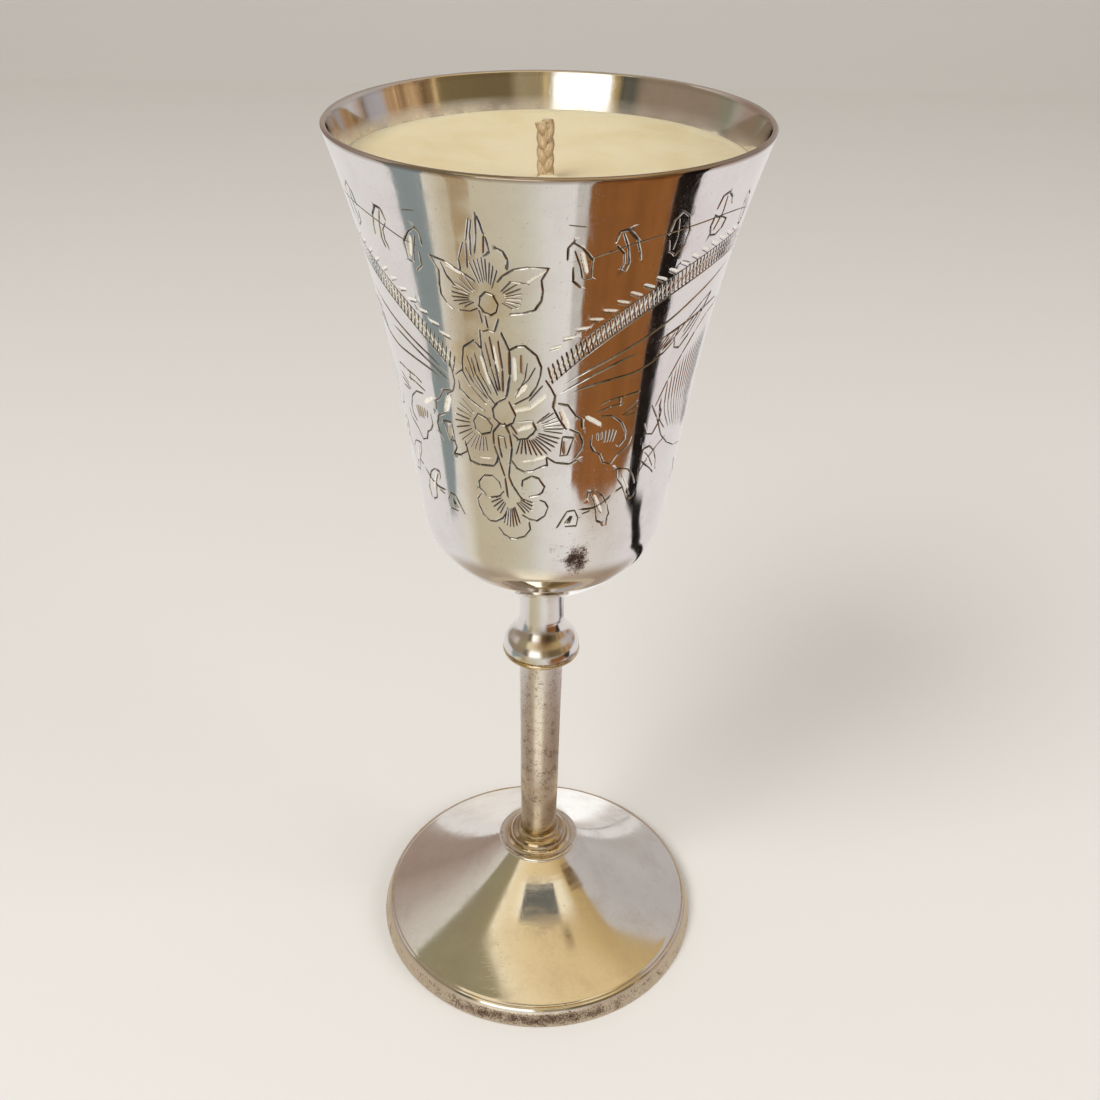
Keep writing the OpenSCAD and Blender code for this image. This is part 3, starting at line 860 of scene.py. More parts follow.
def flat_band(low_h, high_h):
    """The band's triangles on the flat layout, cut up by the grooves, and the grooves."""
    rows = np.linspace(low_h, high_h, 46)
    grid_x = (SEAM + np.arange(COLUMNS + 1) * 360 / COLUMNS) * DEGREE
    flat = [(x, y) for y in rows for x in grid_x]
    wide, top = COLUMNS + 1, (len(rows) - 1) * (COLUMNS + 1)
    edges = []
    for k in range(COLUMNS):
        edges += [(k, k + 1), (top + k, top + k + 1)]
    for i in range(0, top, wide):
        edges += [(i, i + wide), (i + COLUMNS, i + wide + COLUMNS)]
    cut_points, cut_edges, segments = groove_lines(all_cuts(), SEAM, SEAM + 360)
    first = len(flat)
    flat += [tuple(p) for p in cut_points]
    edges += [(a + first, b + first) for a, b in cut_edges]
    made, _, faces, *_ = delaunay_2d_cdt([Vector(p) for p in flat], edges, [], 0, 1e-5)
    place = np.array([tuple(v) for v in made])
    tris = np.array([f for f in faces if len(f) == 3])
    centre = place[tris].mean(axis=1)
    inside = ((centre[:, 0] > grid_x[0]) & (centre[:, 0] < grid_x[-1])
              & (centre[:, 1] > low_h) & (centre[:, 1] < high_h))
    used, tris = np.unique(tris[inside], return_inverse=True)
    return place[used], tris.reshape(-1, 3), segments


def engraved_band(skin, skin_n):
    """The band wrapped round the bowl: vertices, normals, triangles, depth and darkness."""
    low_h, high_h = skin[0, 1], skin[-1, 1]
    place, tris, segments = flat_band(low_h, high_h)
    depth, dark = depths_at(place, segments)
    depth[(place[:, 1] < low_h + 1e-4) | (place[:, 1] > high_h - 1e-4)] = 0
    radius, nr, nz = (np.interp(place[:, 1], skin[:, 1], values)
                      for values in (skin[:, 0], skin_n[:, 0], skin_n[:, 1]))
    turn = np.radians(place[:, 0] / DEGREE)
    verts = on_axis(radius - depth * nr, place[:, 1] - depth * nz, turn)
    return verts, on_axis(nr, nz, turn), tris, depth, dark


def turned_rest(points, outward, low_row, inner, first):
    """The rest of the bowl, whose vertices are numbered from first on.

    It is turned in two runs, seat to band and band over the rim to the cup's floor, and
    each run is closed by a pole on the axis.
    """
    turns = np.radians(SEAM + np.arange(COLUMNS) * 360 / COLUMNS)
    next_k = [(k + 1) % COLUMNS for k in range(COLUMNS)]
    verts, normals, quads, count = [], [], [], first
    for rows in (range(low_row + 1), inner):
        for i, row in enumerate(rows):
            verts.append(on_axis(*points[row], turns))
            normals.append(on_axis(*outward[row], turns))
            a, b = count - COLUMNS, count
            if i > 0:
                quads += [(a + k, a + m, b + m, b + k) for k, m in enumerate(next_k)]
            count += COLUMNS
    poles = []
    for row, ring, down in ((0, first, True), (-1, count - COLUMNS, False)):
        verts.append(np.array([[0, 0, points[row, 1]]]))
        normals.append(np.array([[0, 0, -1.0 if down else 1.0]]))
        for k, m in enumerate(next_k):
            a, b = ring + k, ring + m
            poles.append((count, b, a) if down else (count, a, b))
        count += 1
    return verts, normals, quads + poles


def welded_to(verts, cell=0.002, reach=0.0015):
    """For each vertex, the number of the first one that lies at the same place."""
    keys, target = {}, np.arange(len(verts))
    for i, v in enumerate(np.round(verts / cell).astype(np.int64)):
        near = [(v[0] + a, v[1] + b, v[2] + c) for a in (0, -1, 1) for b in (0, -1, 1)
                for c in (0, -1, 1)]
        found = next((keys[k] for k in near if k in keys
                      and np.abs(verts[keys[k]] - verts[i]).max() < reach), None)
        if found is None:
            keys[tuple(v)] = i
        else:
            target[i] = found
    return target


def welded_faces(faces, numbers, verts, normals, cut_faces):
    """Faces on the welded vertices, and a normal for each of their corners.

    The first faces are the band's; those that are cut are shaded nearly flat.
    """
    welded, corner_normals = [], []
    for number, f in enumerate(faces):
        g = [int(numbers[v]) for v in f]
        if len(set(g)) < 3:
            continue
        if len(set(g)) < len(g):
            f = [v for i, v in enumerate(f) if g[i] != g[i - 1]]
            g = [int(numbers[v]) for v in f]
        welded.append(g)
        soft = normals[list(f)]
        if number < len(cut_faces) and cut_faces[number]:
            p, q, s = verts[list(f[:3])]
            n = np.cross(q - p, s - p)
            soft = 0.25 * soft + 0.75 * n / max(np.sqrt(n @ n), 1e-12)
            soft /= np.sqrt((soft ** 2).sum(axis=1))[:, None]
        corner_normals += [tuple(v) for v in soft]
    return welded, corner_normals


def build_bowl():
    """The bowl: an engraved band whose grooves are real, in a turned shell."""
    points = smoothed(bowl_outline(), False, 0.6, 40)
    tangent = np.gradient(points, axis=0)
    tangent /= np.hypot(*tangent.T)[:, None]
    outward = np.column_stack([tangent[:, 1], -tangent[:, 0]])
    rim, last = int(np.argmax(points[:, 1])), len(points) - 1
    low_row, high_row = (int(np.searchsorted(points[:rim, 1], h)) for h in (BAND_LOW, BAND_HIGH))
    band = slice(low_row, high_row + 1)
    verts, normals, tris, depth, dark = engraved_band(points[band], outward[band])
    wall = rim + 12
    inner = [*range(high_row, wall), *range(wall, last, 3), last]
    more, more_n, others = turned_rest(points, outward, low_row, inner, len(verts))
    verts, normals = np.vstack([verts, *more]), np.vstack([normals, *more_n])
    kept, numbers = np.unique(welded_to(verts), return_inverse=True)
    cut_faces = (depth[tris] > 1e-3).any(axis=1)
    faces, corner_normals = welded_faces([*map(tuple, tris), *others], numbers, verts, normals,
                                         cut_faces)
    piece = new_object("engraved_bowl", verts[kept] * MM, faces, "goblet", "bowl")
    if len(piece.data.loops) == len(corner_normals):
        piece.data.normals_split_custom_set(corner_normals)
    else:
        print("bowl normals skipped", len(piece.data.loops), len(corner_normals))
    groove = np.zeros(len(kept))
    mine = kept < len(dark)
    groove[mine] = dark[kept[mine]]
    write_layer(piece, "groove", groove)
    return piece


# ---------------------------------------------------------------- candle

def box_mm(node):
    """The lowest and highest corner of a CAD node's box, in mm."""
    low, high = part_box(node)
    return np.array(low) / MM, np.array(high) / MM


def cup_radius():
    """Radius of the bowl's inside as a function of height."""
    outline = bowl_outline()
    rim = int(np.argmax(outline[:, 1]))
    inner = smoothed(outline[rim + 1:], False, 0.4, 40)[::-1]
    return lambda z: np.interp(z, inner[:, 1], inner[:, 0])


def wax_outline(low, top, creep):
    """The wax's outline: recess for tab and sticker, side, then top, with the top's first row."""
    tab_low, tab_high = box_mm("wick_tab")
    sticker_low, sticker_high = box_mm("wick_sticker")
    radius, gap = cup_radius(), 0.12
    heights = np.concatenate([np.linspace(low, low + 20, 40)[:-1],
                              np.linspace(low + 20, top + creep, 60)])
    side = [(float(radius(z)) - gap, z) for z in heights]
    tab_r = (tab_high[0] - tab_low[0]) / 2 + 0.05
    dot_r = (sticker_high[0] - sticker_low[0]) / 2 + 0.05
    under = [(tab_r * 0.33, tab_high[2]), (tab_r * 0.34, tab_low[2] + 0.5),
             (tab_r, tab_low[2] + 0.45), (tab_r, tab_low[2] - 0.05), (dot_r, tab_low[2] - 0.05),
             (dot_r, low)]
    rings = [side[-1][0] * (1 - t) for t in np.linspace(0, 1, 64)[1:-1] ** 1.25]
    return under + side + [(r, top) for r in rings], side[-1][0], len(under) + len(side)


def build_wax():
    """The wax: it follows the cup, creeps up at the wall and the wick, and dips between."""
    low, high = box_mm("wax_fill")
    wick_low, wick_high = box_mm("wick")
    creep, segments, top = 0.45, 180, high[2]
    wick_y = wick_low[1] * (top - wick_low[2]) / (wick_high[2] - wick_low[2])
    points, edge, top_row = wax_outline(low[2], top, creep)
    verts, faces = lathe_mesh(points, False, segments)
    top_pole = len(verts) - 1
    made = []
    for i, (x, y, z) in enumerate(verts):
        row = i // segments
        x_mm, y_mm = x / MM, y / MM
        if i == top_pole or top_row <= row < len(points):
            r = math.hypot(x_mm, y_mm)
            wall = creep * math.exp(-(edge - r) / 0.9)
            wick = 0.75 * math.exp(-max(math.hypot(x_mm, y_mm - wick_y) - 1.2, 0) / 0.7)
            dip = -0.22 * math.exp(-(r / 20) ** 2)
            ripple = 0.05 * math.sin(x_mm * 0.31 + 1) * math.sin(y_mm * 0.27 + 2)
            z = (top + wall + wick + dip + ripple) * MM
        elif top_row - 6 <= row < top_row and z > (top - 0.2) * MM:
            z += 0.03 * math.sin(3 * math.atan2(x, y)) * MM
        made.append((x, y, z))
    return finished(new_object("wax", made, faces, "candle", "wax_fill"), 60)


STATIONS, SIDES = 620, 20            # of each strand of the wick


def strand_line(strand, stop, length):
    """One strand's course: (along the wick, across, deep) in mm at each station."""
    period = 6.8
    for i in range(STATIONS + 1):
        s = stop * i / STATIONS
        t = TURN * strand / 3 - TURN * s / period
        frayed = max(0.0, s - (length - 2.0)) / 2.0
        x = 0.57 * math.sin(t) - 0.55 * max(0.0, s / length) ** 2
        x += frayed ** 1.5 * (0.0, 0.62, -0.12)[strand]
        yield s, x, 0.30 * math.sin(2 * t)


def strand_rings(centres, run, length, deep, chance):
    """A strand's skin: (place, how much painted shade) round each of its centres, with its fibres.
    """
    slow, quick = (chance.uniform(0, TURN) for _ in range(2))
    for i, (c, s) in enumerate(zip(centres, run)):
        ahead = (centres[min(i + 1, STATIONS)] - centres[max(i - 1, 0)]).normalized()
        u = ahead.cross(deep).normalized()
        v = ahead.cross(u).normalized()
        loose = 1 + 0.25 * max(0.0, s - (length - 1.6)) / 1.6
        for k in range(SIDES):
            a = TURN * k / SIDES
            ridge = math.sin(6 * a + s * 1.1 + slow)
            fibre = 1 + 0.07 * ridge + 0.03 * math.sin(11 * a - s * 2.3 + quick)
            wide, thick = 0.76 * fibre * loose, 0.48 * fibre
            # Each point's second number is painted shade, deepest at the strand's edges across the
            # braid.
            yield (c + u * wide * math.cos(a) + v * thick * math.sin(a),
                   0.8 * abs(math.cos(a)) ** 3 + 0.2 * ridge ** 2)


def build_wick():
    """A flat braid of three cotton strands along the wick's line, cut and frayed at the top."""
    low, high = box_mm("wick")
    r = (high[0] - low[0]) / 2
    foot = Vector((0, high[1] - r, low[2]))
    line = Vector((0, low[1] + r, high[2])) - foot
    length, forward, across = line.length, line.normalized(), Vector((1, 0, 0))
    deep = forward.cross(across)
    verts, faces, painted_braid_shade = [], [], []
    for strand, short in enumerate((0.05, 0.75, 0.4)):
        begin = len(verts)
        course = list(strand_line(strand, length - short, length))
        centres = [foot + forward * s + across * x + deep * y for s, x, y in course]
        rings = strand_rings(centres, [c[0] for c in course], length, deep,
                             random.Random(31 + strand))
        for place, dark in rings:
            verts.append(place)
            painted_braid_shade.append(dark)
        for i in range(STATIONS):
            a, b = begin + i * SIDES, begin + (i + 1) * SIDES
            for k in range(SIDES):
                m = (k + 1) % SIDES
                faces.append((a + k, a + m, b + m, b + k))
        for row, lift in ((0, -0.1), (STATIONS, 0.12)):
            pole, base = len(verts), begin + row * SIDES
            verts.append(centres[row] + forward * lift)
            painted_braid_shade.append(0.4)
            faces += [(pole, base + k, base + (k + 1) % SIDES) for k in range(SIDES)]
    verts = [(x * MM, y * MM, min(max(z, low[2]), high[2]) * MM) for x, y, z in verts]
    piece = finished(new_object("braided_wick", verts, faces, "candle", "wick"))
    write_layer(piece, "painted_braid_shade", painted_braid_shade)
    return piece


def build_tab():
    """The wick's tab: a thin disc with a rolled edge and a neck crimped at four places."""
    low, high = box_mm("wick_tab")
    r = (high[0] - low[0]) / 2
    points = [(1.25, high[2]), (1.75, high[2]), (1.9, high[2] - 0.2), (1.85, low[2] + 1.0),
              (2.1, low[2] + 0.5), (2.6, low[2] + 0.38), (r - 0.5, low[2] + 0.38),
              (r - 0.15, low[2] + 0.36), (r, low[2] + 0.2), (r - 0.12, low[2] + 0.03),
              (r - 0.5, low[2]), (1.6, low[2]), (1.3, low[2] + 0.3)]
    verts, faces = lathe_mesh(smoothed(np.array(points), True, 0.15, 60), True, 120)
    made = []
    for x, y, z in verts:
        radius, turn = math.hypot(x, y) / MM, math.atan2(x, y)
        if radius < 2.3 and z > (low[2] + 1.2) * MM:
            squeeze = 1 - 0.09 * max(0.0, math.cos(4 * turn)) ** 2
            x, y = x * squeeze, y * squeeze
        made.append((x, y, z))
    return finished(new_object("wick_tab_stamped", made, faces, "candle", "wick_tab"),
                    50)


def build_sticker():
    """The adhesive foam dot under the tab, its edge pinched in a little."""
    low, high = box_mm("wick_sticker")
    r, round_off = (high[0] - low[0]) / 2, 0.25
    points = [(0.02, high[2]), (r - round_off, high[2]), (r - 0.05, high[2] - 0.1),
              (r, high[2] - 0.3), (r - 0.06, (low[2] + high[2]) / 2), (r, low[2] + 0.3),
              (r - 0.05, low[2] + 0.1), (r - round_off, low[2]), (0.02, low[2])]
    verts, faces = lathe_mesh(smoothed(np.array(points), False, 0.2, 60), False, 96)
    return finished(new_object("foam_sticker", verts, faces, "candle", "wick_sticker"))


# ---------------------------------------------------------------- rod, washer and nut

def build_rod():
    """The tie rod: brazed round head, plain shank and a rolled thread at its lower end."""
    low, high = box_mm("tie_rod")
    points, _ = outline_of("tie_rod")
    rod_r = points[:, 0].min()
    head_r, head_low = points[:, 0].max(), high[2] - 0.7
    pitch, root, threaded = 0.7, rod_r - 0.38, 9.0
    segments, per_pitch = 48, 8
    profile = [(0.001, high[2]), (head_r - 0.12, high[2]), (head_r, high[2] - 0.12),
               (head_r, head_low + 0.12), (head_r - 0.12, head_low), (rod_r, head_low)]
    shank = np.linspace(head_low - 0.5, low[2] + threaded, 12)
    profile += [(rod_r, z) for z in shank]
    rows = int(threaded / pitch * per_pitch)
    profile += [(rod_r, low[2] + threaded * (1 - i / rows)) for i in range(1, rows + 1)]
    first_thread = len(profile) - rows
    verts, faces = lathe_mesh(np.array(profile), False, segments)
    made = []
    for i, (x, y, z) in enumerate(verts):
        row = i // segments
        if first_thread <= row < len(profile):
            turn = math.atan2(y, x) / TURN
            along = ((z / MM) / pitch + turn) % 1.0
            ridge = 1 - abs(2 * along - 1)
            fade = min(1, (row - first_thread) / 6)
            r = rod_r - (rod_r - root) * (1 - ridge) * fade
            if row > len(profile) - 4:
                r = min(r, root + 0.1 * (len(profile) - row))
            scale = r * MM / math.hypot(x, y)
            x, y = x * scale, y * scale
        made.append((x, y, z))
    return finished(new_object("threaded_tie_rod", made, faces, "goblet", "tie_rod"), 35)


def build_nut():
    """A chamfered hexagon nut with a countersunk, threaded hole."""
    low, high = box_mm("foot_nut")
    flat = (high[1] - low[1]) / 2
    corner = flat / math.cos(math.pi / 6)
    segments, chamfer = 96, 0.45
    hole = 2.05
    rows = [(hole + 0.35, low[2], 0), (flat * 0.97, low[2], 0), (corner, low[2] + chamfer, 1),
            (corner, high[2] - chamfer, 1), (flat * 0.97, high[2], 0), (hole + 0.35, high[2], 0)]
    grooves = 18
    rows += [(hole + (0.3 if i in (0, grooves) else 0.14 * (i % 2)),
              high[2] - 0.3 - (high[2] - low[2] - 0.6) * i / grooves, 0)
             for i in range(grooves + 1)]
    verts, faces = [], []
    for r, z, hexed in rows:
        for k in range(segments):
            a = TURN * k / segments
            wedge = (a + math.pi / 6) % (math.pi / 3) - math.pi / 6
            limit = flat / math.cos(wedge)
            rr = min(r, limit) if hexed or r > hole + 1 else r
            verts.append((rr * math.cos(a) * MM, rr * math.sin(a) * MM, z * MM))
    n = len(rows)
    for i in range(n):
        for k in range(segments):
            m, j = (k + 1) % segments, (i + 1) % n
            faces.append((i * segments + k, i * segments + m, j * segments + m, j * segments + k))
    return finished(new_object("hex_nut", verts, faces, "goblet", "foot_nut"), 20)


# ---------------------------------------------------------------- build the pieces

def near(value, middle, half, soft):
    """1 within half of the middle and 0 past it, with a soft edge."""
    return 1 / (1 + np.exp((np.abs(value - middle) - half) / soft))


def front(a, middle, half, soft):
    """The same for azimuths, which begin again after a full turn."""
    return near((a - middle + 180) % 360 - 180, 0, half, soft)


def ramp_down(z, start, depth):
    """0 above height start, rising to 1 at depth mm below it."""
    return np.clip((start - z) / depth, 0, 1)


def paint_bowl(bowl):
    """Brassy and darker brown patches by the bouquet, a tarnished spot, brown along the rim's top
    that is partly painted reflection, and wax on the wall inside.
    """
    wall = cup_radius()
    paint(bowl,
          brass=lambda a, z, r: 0.45 * front(a, -18, 22, 6) * near(z, 139, 15, 3)
          + 0.40 * front(a, -16, 14, 5) * near(z, 159, 8, 2),
          tarnish=lambda a, z, r: 0.80 * front(a, 15.5, 4.5, 1.6) * near(z, 108.6, 7/3, 2/3)
          + 0.35 * front(a, 12, 9, 3) * near(z, 111, 3, 1),
          # Along the rim's top: a little brown all round, and painted reflection, darkest at the
          # front and on the right.
          worn=lambda a, z, r: (z > 177.62) * (0.12 + 0.5 * front(a, 0, 75, 16)
                                               + 0.25 * front(a, 70, 34, 10))
          + 0.26 * front(a, -19, 14, 4) * near(z, 134.5, 14/3, 5/3)
          + 0.24 * front(a, -15, 12, 3) * near(z, 147, 14/3, 4/3)
          + 0.20 * front(a, -16, 10, 4) * near(z, 160, 14/3, 4/3),
          film=lambda a, z, r: (r < wall(z) + 0.35) * ramp_down(z, 174.6, 2.2)
          * (z > 168) * (0.25 + 0.75 * front(a, -95, 75, 12)))


def paint_stand(knop, stem, collar, foot):
    """Brass showing at edges and joints, dirt in the corners, tarnished patches down the front, and
    painted reflection in bands round the stem.
    """
    paint(knop, worn=lambda a, z, r: 0.95 * front(a, 8, 17, 5) * near(z, 79.3, 7/4, 1/2),
          brass=lambda a, z, r: 0.75 * ramp_down(z, 77.5, 3.5),
          tarnish=lambda a, z, r: 0.45 * near(z, 74.6, 0.3, 0.1),
          groove=lambda a, z, r: 0.42 * front(a, 8, 14, 4) * near(z, 79.5, 5/4, 1/2))
    # On the stem, the azimuth bands in its tarnish and wear layers are painted reflection of the
    # table round it.
    paint(stem, brass=lambda a, z, r: 0.45 * ramp_down(z, 50, 20) + 0.1,
          tarnish=lambda a, z, r: 0.17 + 0.09 * front(a, 28, 22, 9) + 0.07 * front(a, -30, 10, 6)
          + 0.12 * near(z, 42, 9, 4) + 0.08 * near(z, 64, 3, 2),
          worn=lambda a, z, r: 0.26 * front(a, 38, 20, 6) + 0.16 * front(a, -30, 12, 5)
          + 0.12 * ramp_down(z, 48, 20))
    paint(collar, brass=lambda a, z, r: 0.05 + 0.6 * (r < 7.3),
          worn=lambda a, z, r: 0.40 * (r < 7.3) * (z > 22) + 0.3 * near(r, 7.4, 0.15, 0.07),
          tarnish=lambda a, z, r: 0.45 * near(z, 22, 0.25, 0.1))
    paint(foot, brass=lambda a, z, r: 0.06 + 0.8 * near(r, 33.65, 0.16, 0.07),
          tarnish=lambda a, z, r: 0.48 * front(a, 0, 34, 9) * near(z, 2.1, 1.3, 0.3)
          + 0.24 * near(z, 1.5, 1.4, 0.4) + 0.2 * front(a, 62, 12, 6) * near(r, 25, 4, 1.5))


bowl = build_bowl()
knop = turned_piece("turned_knop", "knop", "goblet", 160, 0.2)
stem = turned_piece("tapered_stem", "stem_tube", "goblet", 120, 0.8, 0.012)
collar = turned_piece("stepped_collar", "collar", "goblet", 160, 0.15)
foot = turned_piece("spun_foot", "foot", "goblet", 288, 0.45, 0.02)
rod = build_rod()
washer = turned_piece("flat_washer", "foot_washer", "goblet", 96, 0.3)
nut = build_nut()
wax = build_wax()
wick = build_wick()
tab = build_tab()
sticker = build_sticker()
paint_bowl(bowl)
paint_stand(knop, stem, collar, foot)

DULL_BRASS = plain_metal("dull_brass", srgb(0.78, 0.67, 0.42), 0.32)
FINISHES = (
    (bowl, plated("bowl_plate", 0.25, 0.035, 0.7)),
    (knop, plated("knop_plate", 0.3, 0.15, 0.4)),
    (stem, plated("stem_plate", 0.40, 0.09, 0.8, 0.6)),
    (collar, plated("silver_plate")),
    (foot, plated("foot_plate", 0.38, 0.045, 0.7, 0.8)),
    (rod, DULL_BRASS), (washer, DULL_BRASS), (nut, DULL_BRASS),
    (wax, wax_material()),
    (wick, cotton_material()),
    (tab, plain_metal("tin_plate", srgb(0.80, 0.80, 0.79), 0.25)),
    (sticker, plain_material("foam", srgb(0.93, 0.93, 0.91), 0.8)))
for piece, finish in FINISHES:
    piece.data.materials.clear()
    piece.data.materials.append(finish)


# ---------------------------------------------------------------- room, light and camera

PITCH = math.radians(32.19)
VIEW = Vector((0, math.cos(PITCH), -math.sin(PITCH)))


def mirrored_cup(n, azimuth, share, nz):
    """What the bowl mirrors: upright bands, with wood grain on its left."""
    cup = n.round_about(share, (-180, (.50, .42, .34)), (-84, (.40, .36, .30)), (-72, (.62, .60,
        .56)), (-66, (.50, .50, .43)), (-56, (.54, .48, .42)), (-29, (.55, .49, .42)), (-27,
        (.34, .33, .29)), (-23, (.36, .35, .31)), (-21.6, (.22, .18, .12)), (-20.6, (.78, .68,
        .48)), (-19.4, (.70, .60, .42)), (-18.6, (1, 1, .98)), (-1.4, (1, 1, .98)), (-.4,
        (.52, .46, .34)), (1.2, (.84, .74, .54)), (2.4, (.56, .50, .38)), (10, (.60, .54, .42)),
        (12.5, (.42, .36, .25)), (35, (.45, .39, .27)), (36.6, (.80, .68, .50)), (38.4, (.40, .30,
        .20)), (45, (.46, .37, .26)), (47, (.74, .62, .46)), (50, (.42, .30, .20)), (56, (.60, .47,
        .33)), (58.5, (.66, .64, .66)), (66, (.62, .60, .62)), (69, (.34, .25, .18)), (76,
        (.56, .42, .29)), (84, (.40, .29, .21)), (180, (.50, .42, .34)))
    along = n.add("ShaderNodeCombineXYZ", in_X=n.times(azimuth, 0.42), in_Y=n.times(nz, 2.0))
    streak = n.step(n.noise(along.outputs[0], 1.6, 3, 0.7, 0.6), 0.42, 0.62)
    grain = n.times(n.step(azimuth, 36, 44), n.step(azimuth, 57, 58, 0.75, 0.0))
    grain = n.math("MAXIMUM", grain, n.step(azimuth, 67, 69, 0.0, 0.75))
    return n.mix(n.times(grain, streak), cup, srgb(.80, .66, .50))


def mirrored_foot(n, azimuth, nz, patch):
    """What the foot mirrors: a bright panel with a window in it, between duller ones."""
    # The panel's left edge leans over where the foot flattens.
    lean = n.times(n.step(nz, 0.755, 0.80), n.step(azimuth, -36, -27, 0.0, -16.0))
    ground = n.round_about(n.share(n.plus(azimuth, lean)), (-180, (.64, .61, .58)), (-118,
        (.68, .64, .61)), (-96, (.62, .55, .51)), (-76, (.60, .53, .49)), (-64, (.68, .63, .60)),
        (-55, (.76, .73, .70)), (-46.5, (.80, .78, .74)), (-45, (.55, .52, .42)), (-27, (.58, .54,
        .42)), (-26, (.93, .88, .76)), (-18, (.90, .82, .66)), (-6, (.87, .78, .60)), (14,
        (.84, .74, .56)), (26, (.76, .66, .47)), (38.5, (.70, .60, .42)), (39.5, (.74, .72, .71)),
        (60, (.70, .68, .68)), (78, (.72, .70, .70)), (100, (.66, .64, .62)), (180, (.64, .61,
        .58)))
    glow = n.times(patch(-17, 24, 0.690, 0.742, 5), 0.7)
    for share, colour in ((glow, (.98, .95, .86)), (patch(-12, 15, 0.698, 0.744), (.40, .40, .38)),
                          (patch(28, 41, 0.672, 0.712, 1.6), (.42, .33, .24)),
                          (patch(14.5, 18.5, 0.752, 0.766, 1.2), (.50, .42, .28))):
        ground = n.mix(share, ground, srgb(*colour))
    return ground


def room():
    """Soft pale light, and for the metal alone a room to mirror above the table.

    The mirrored room is written in terms of the surface direction that would reflect a ray
    to the camera: azimuth in degrees right of the front, and tilt (0 level, 1 straight up).
    """
    world = bpy.data.worlds.new("studio")
    bpy.context.scene.world = world
    world.use_nodes = True
    n = Nodes(world.node_tree)
    ray = n.add("ShaderNodeTexCoord").outputs["Generated"]
    half = n.add("ShaderNodeVectorMath", operation="SUBTRACT", in_Vector=ray)
    half.inputs[1].default_value = VIEW
    half = n.add("ShaderNodeVectorMath", operation="NORMALIZE", in_Vector=half).outputs[0]
    nx, ny, nz = n.add("ShaderNodeSeparateXYZ", in_Vector=half).outputs
    azimuth = n.azimuth(nx, ny)
    wobble = n.minus(n.noise(half, 3.0, 2, 0.5), 0.5)
    azimuth = n.plus(azimuth, n.times(wobble, 5.0))

    def patch(left, right, low, high, soft=1.0):
        """1 inside a rectangle of azimuths and tilts, 0 outside it."""
        wide = n.times(n.step(azimuth, left - soft, left + soft),
                       n.step(azimuth, right - soft, right + soft, 1, 0))
        tall = n.times(n.step(nz, low - .004, low + .004),
                       n.step(nz, high - .004, high + .004, 1, 0))
        return n.times(wide, tall)

    seen = n.mix(n.step(nz, 0.24, 0.38), srgb(.80, .78, .76),
                 mirrored_cup(n, azimuth, n.share(azimuth), nz))
    seen = n.mix(n.step(nz, 0.57, 0.63), seen, mirrored_foot(n, azimuth, nz, patch))
    seen = n.mix(n.step(nz, 0.89, 0.93), seen, srgb(.66, .61, .57))
    window = n.times(patch(-18.4, -1.6, 0.36, 0.56, 0.4), 0.6)
    mirror = n.add("ShaderNodeBackground", in_Color=seen, in_Strength=n.plus(1.12, window))
    pale = n.add("ShaderNodeBackground", in_Color=srgb(.93, .92, .90), in_Strength=0.62)
    backdrop = n.add("ShaderNodeBackground", in_Color=srgb(.90, .885, .86), in_Strength=1.0)
    ray = n.add("ShaderNodeLightPath").outputs
    mixed = n.either(ray["Is Glossy Ray"], pale, mirror)
    n.add("ShaderNodeOutputWorld", in_Surface=n.either(ray["Is Camera Ray"], mixed, backdrop))


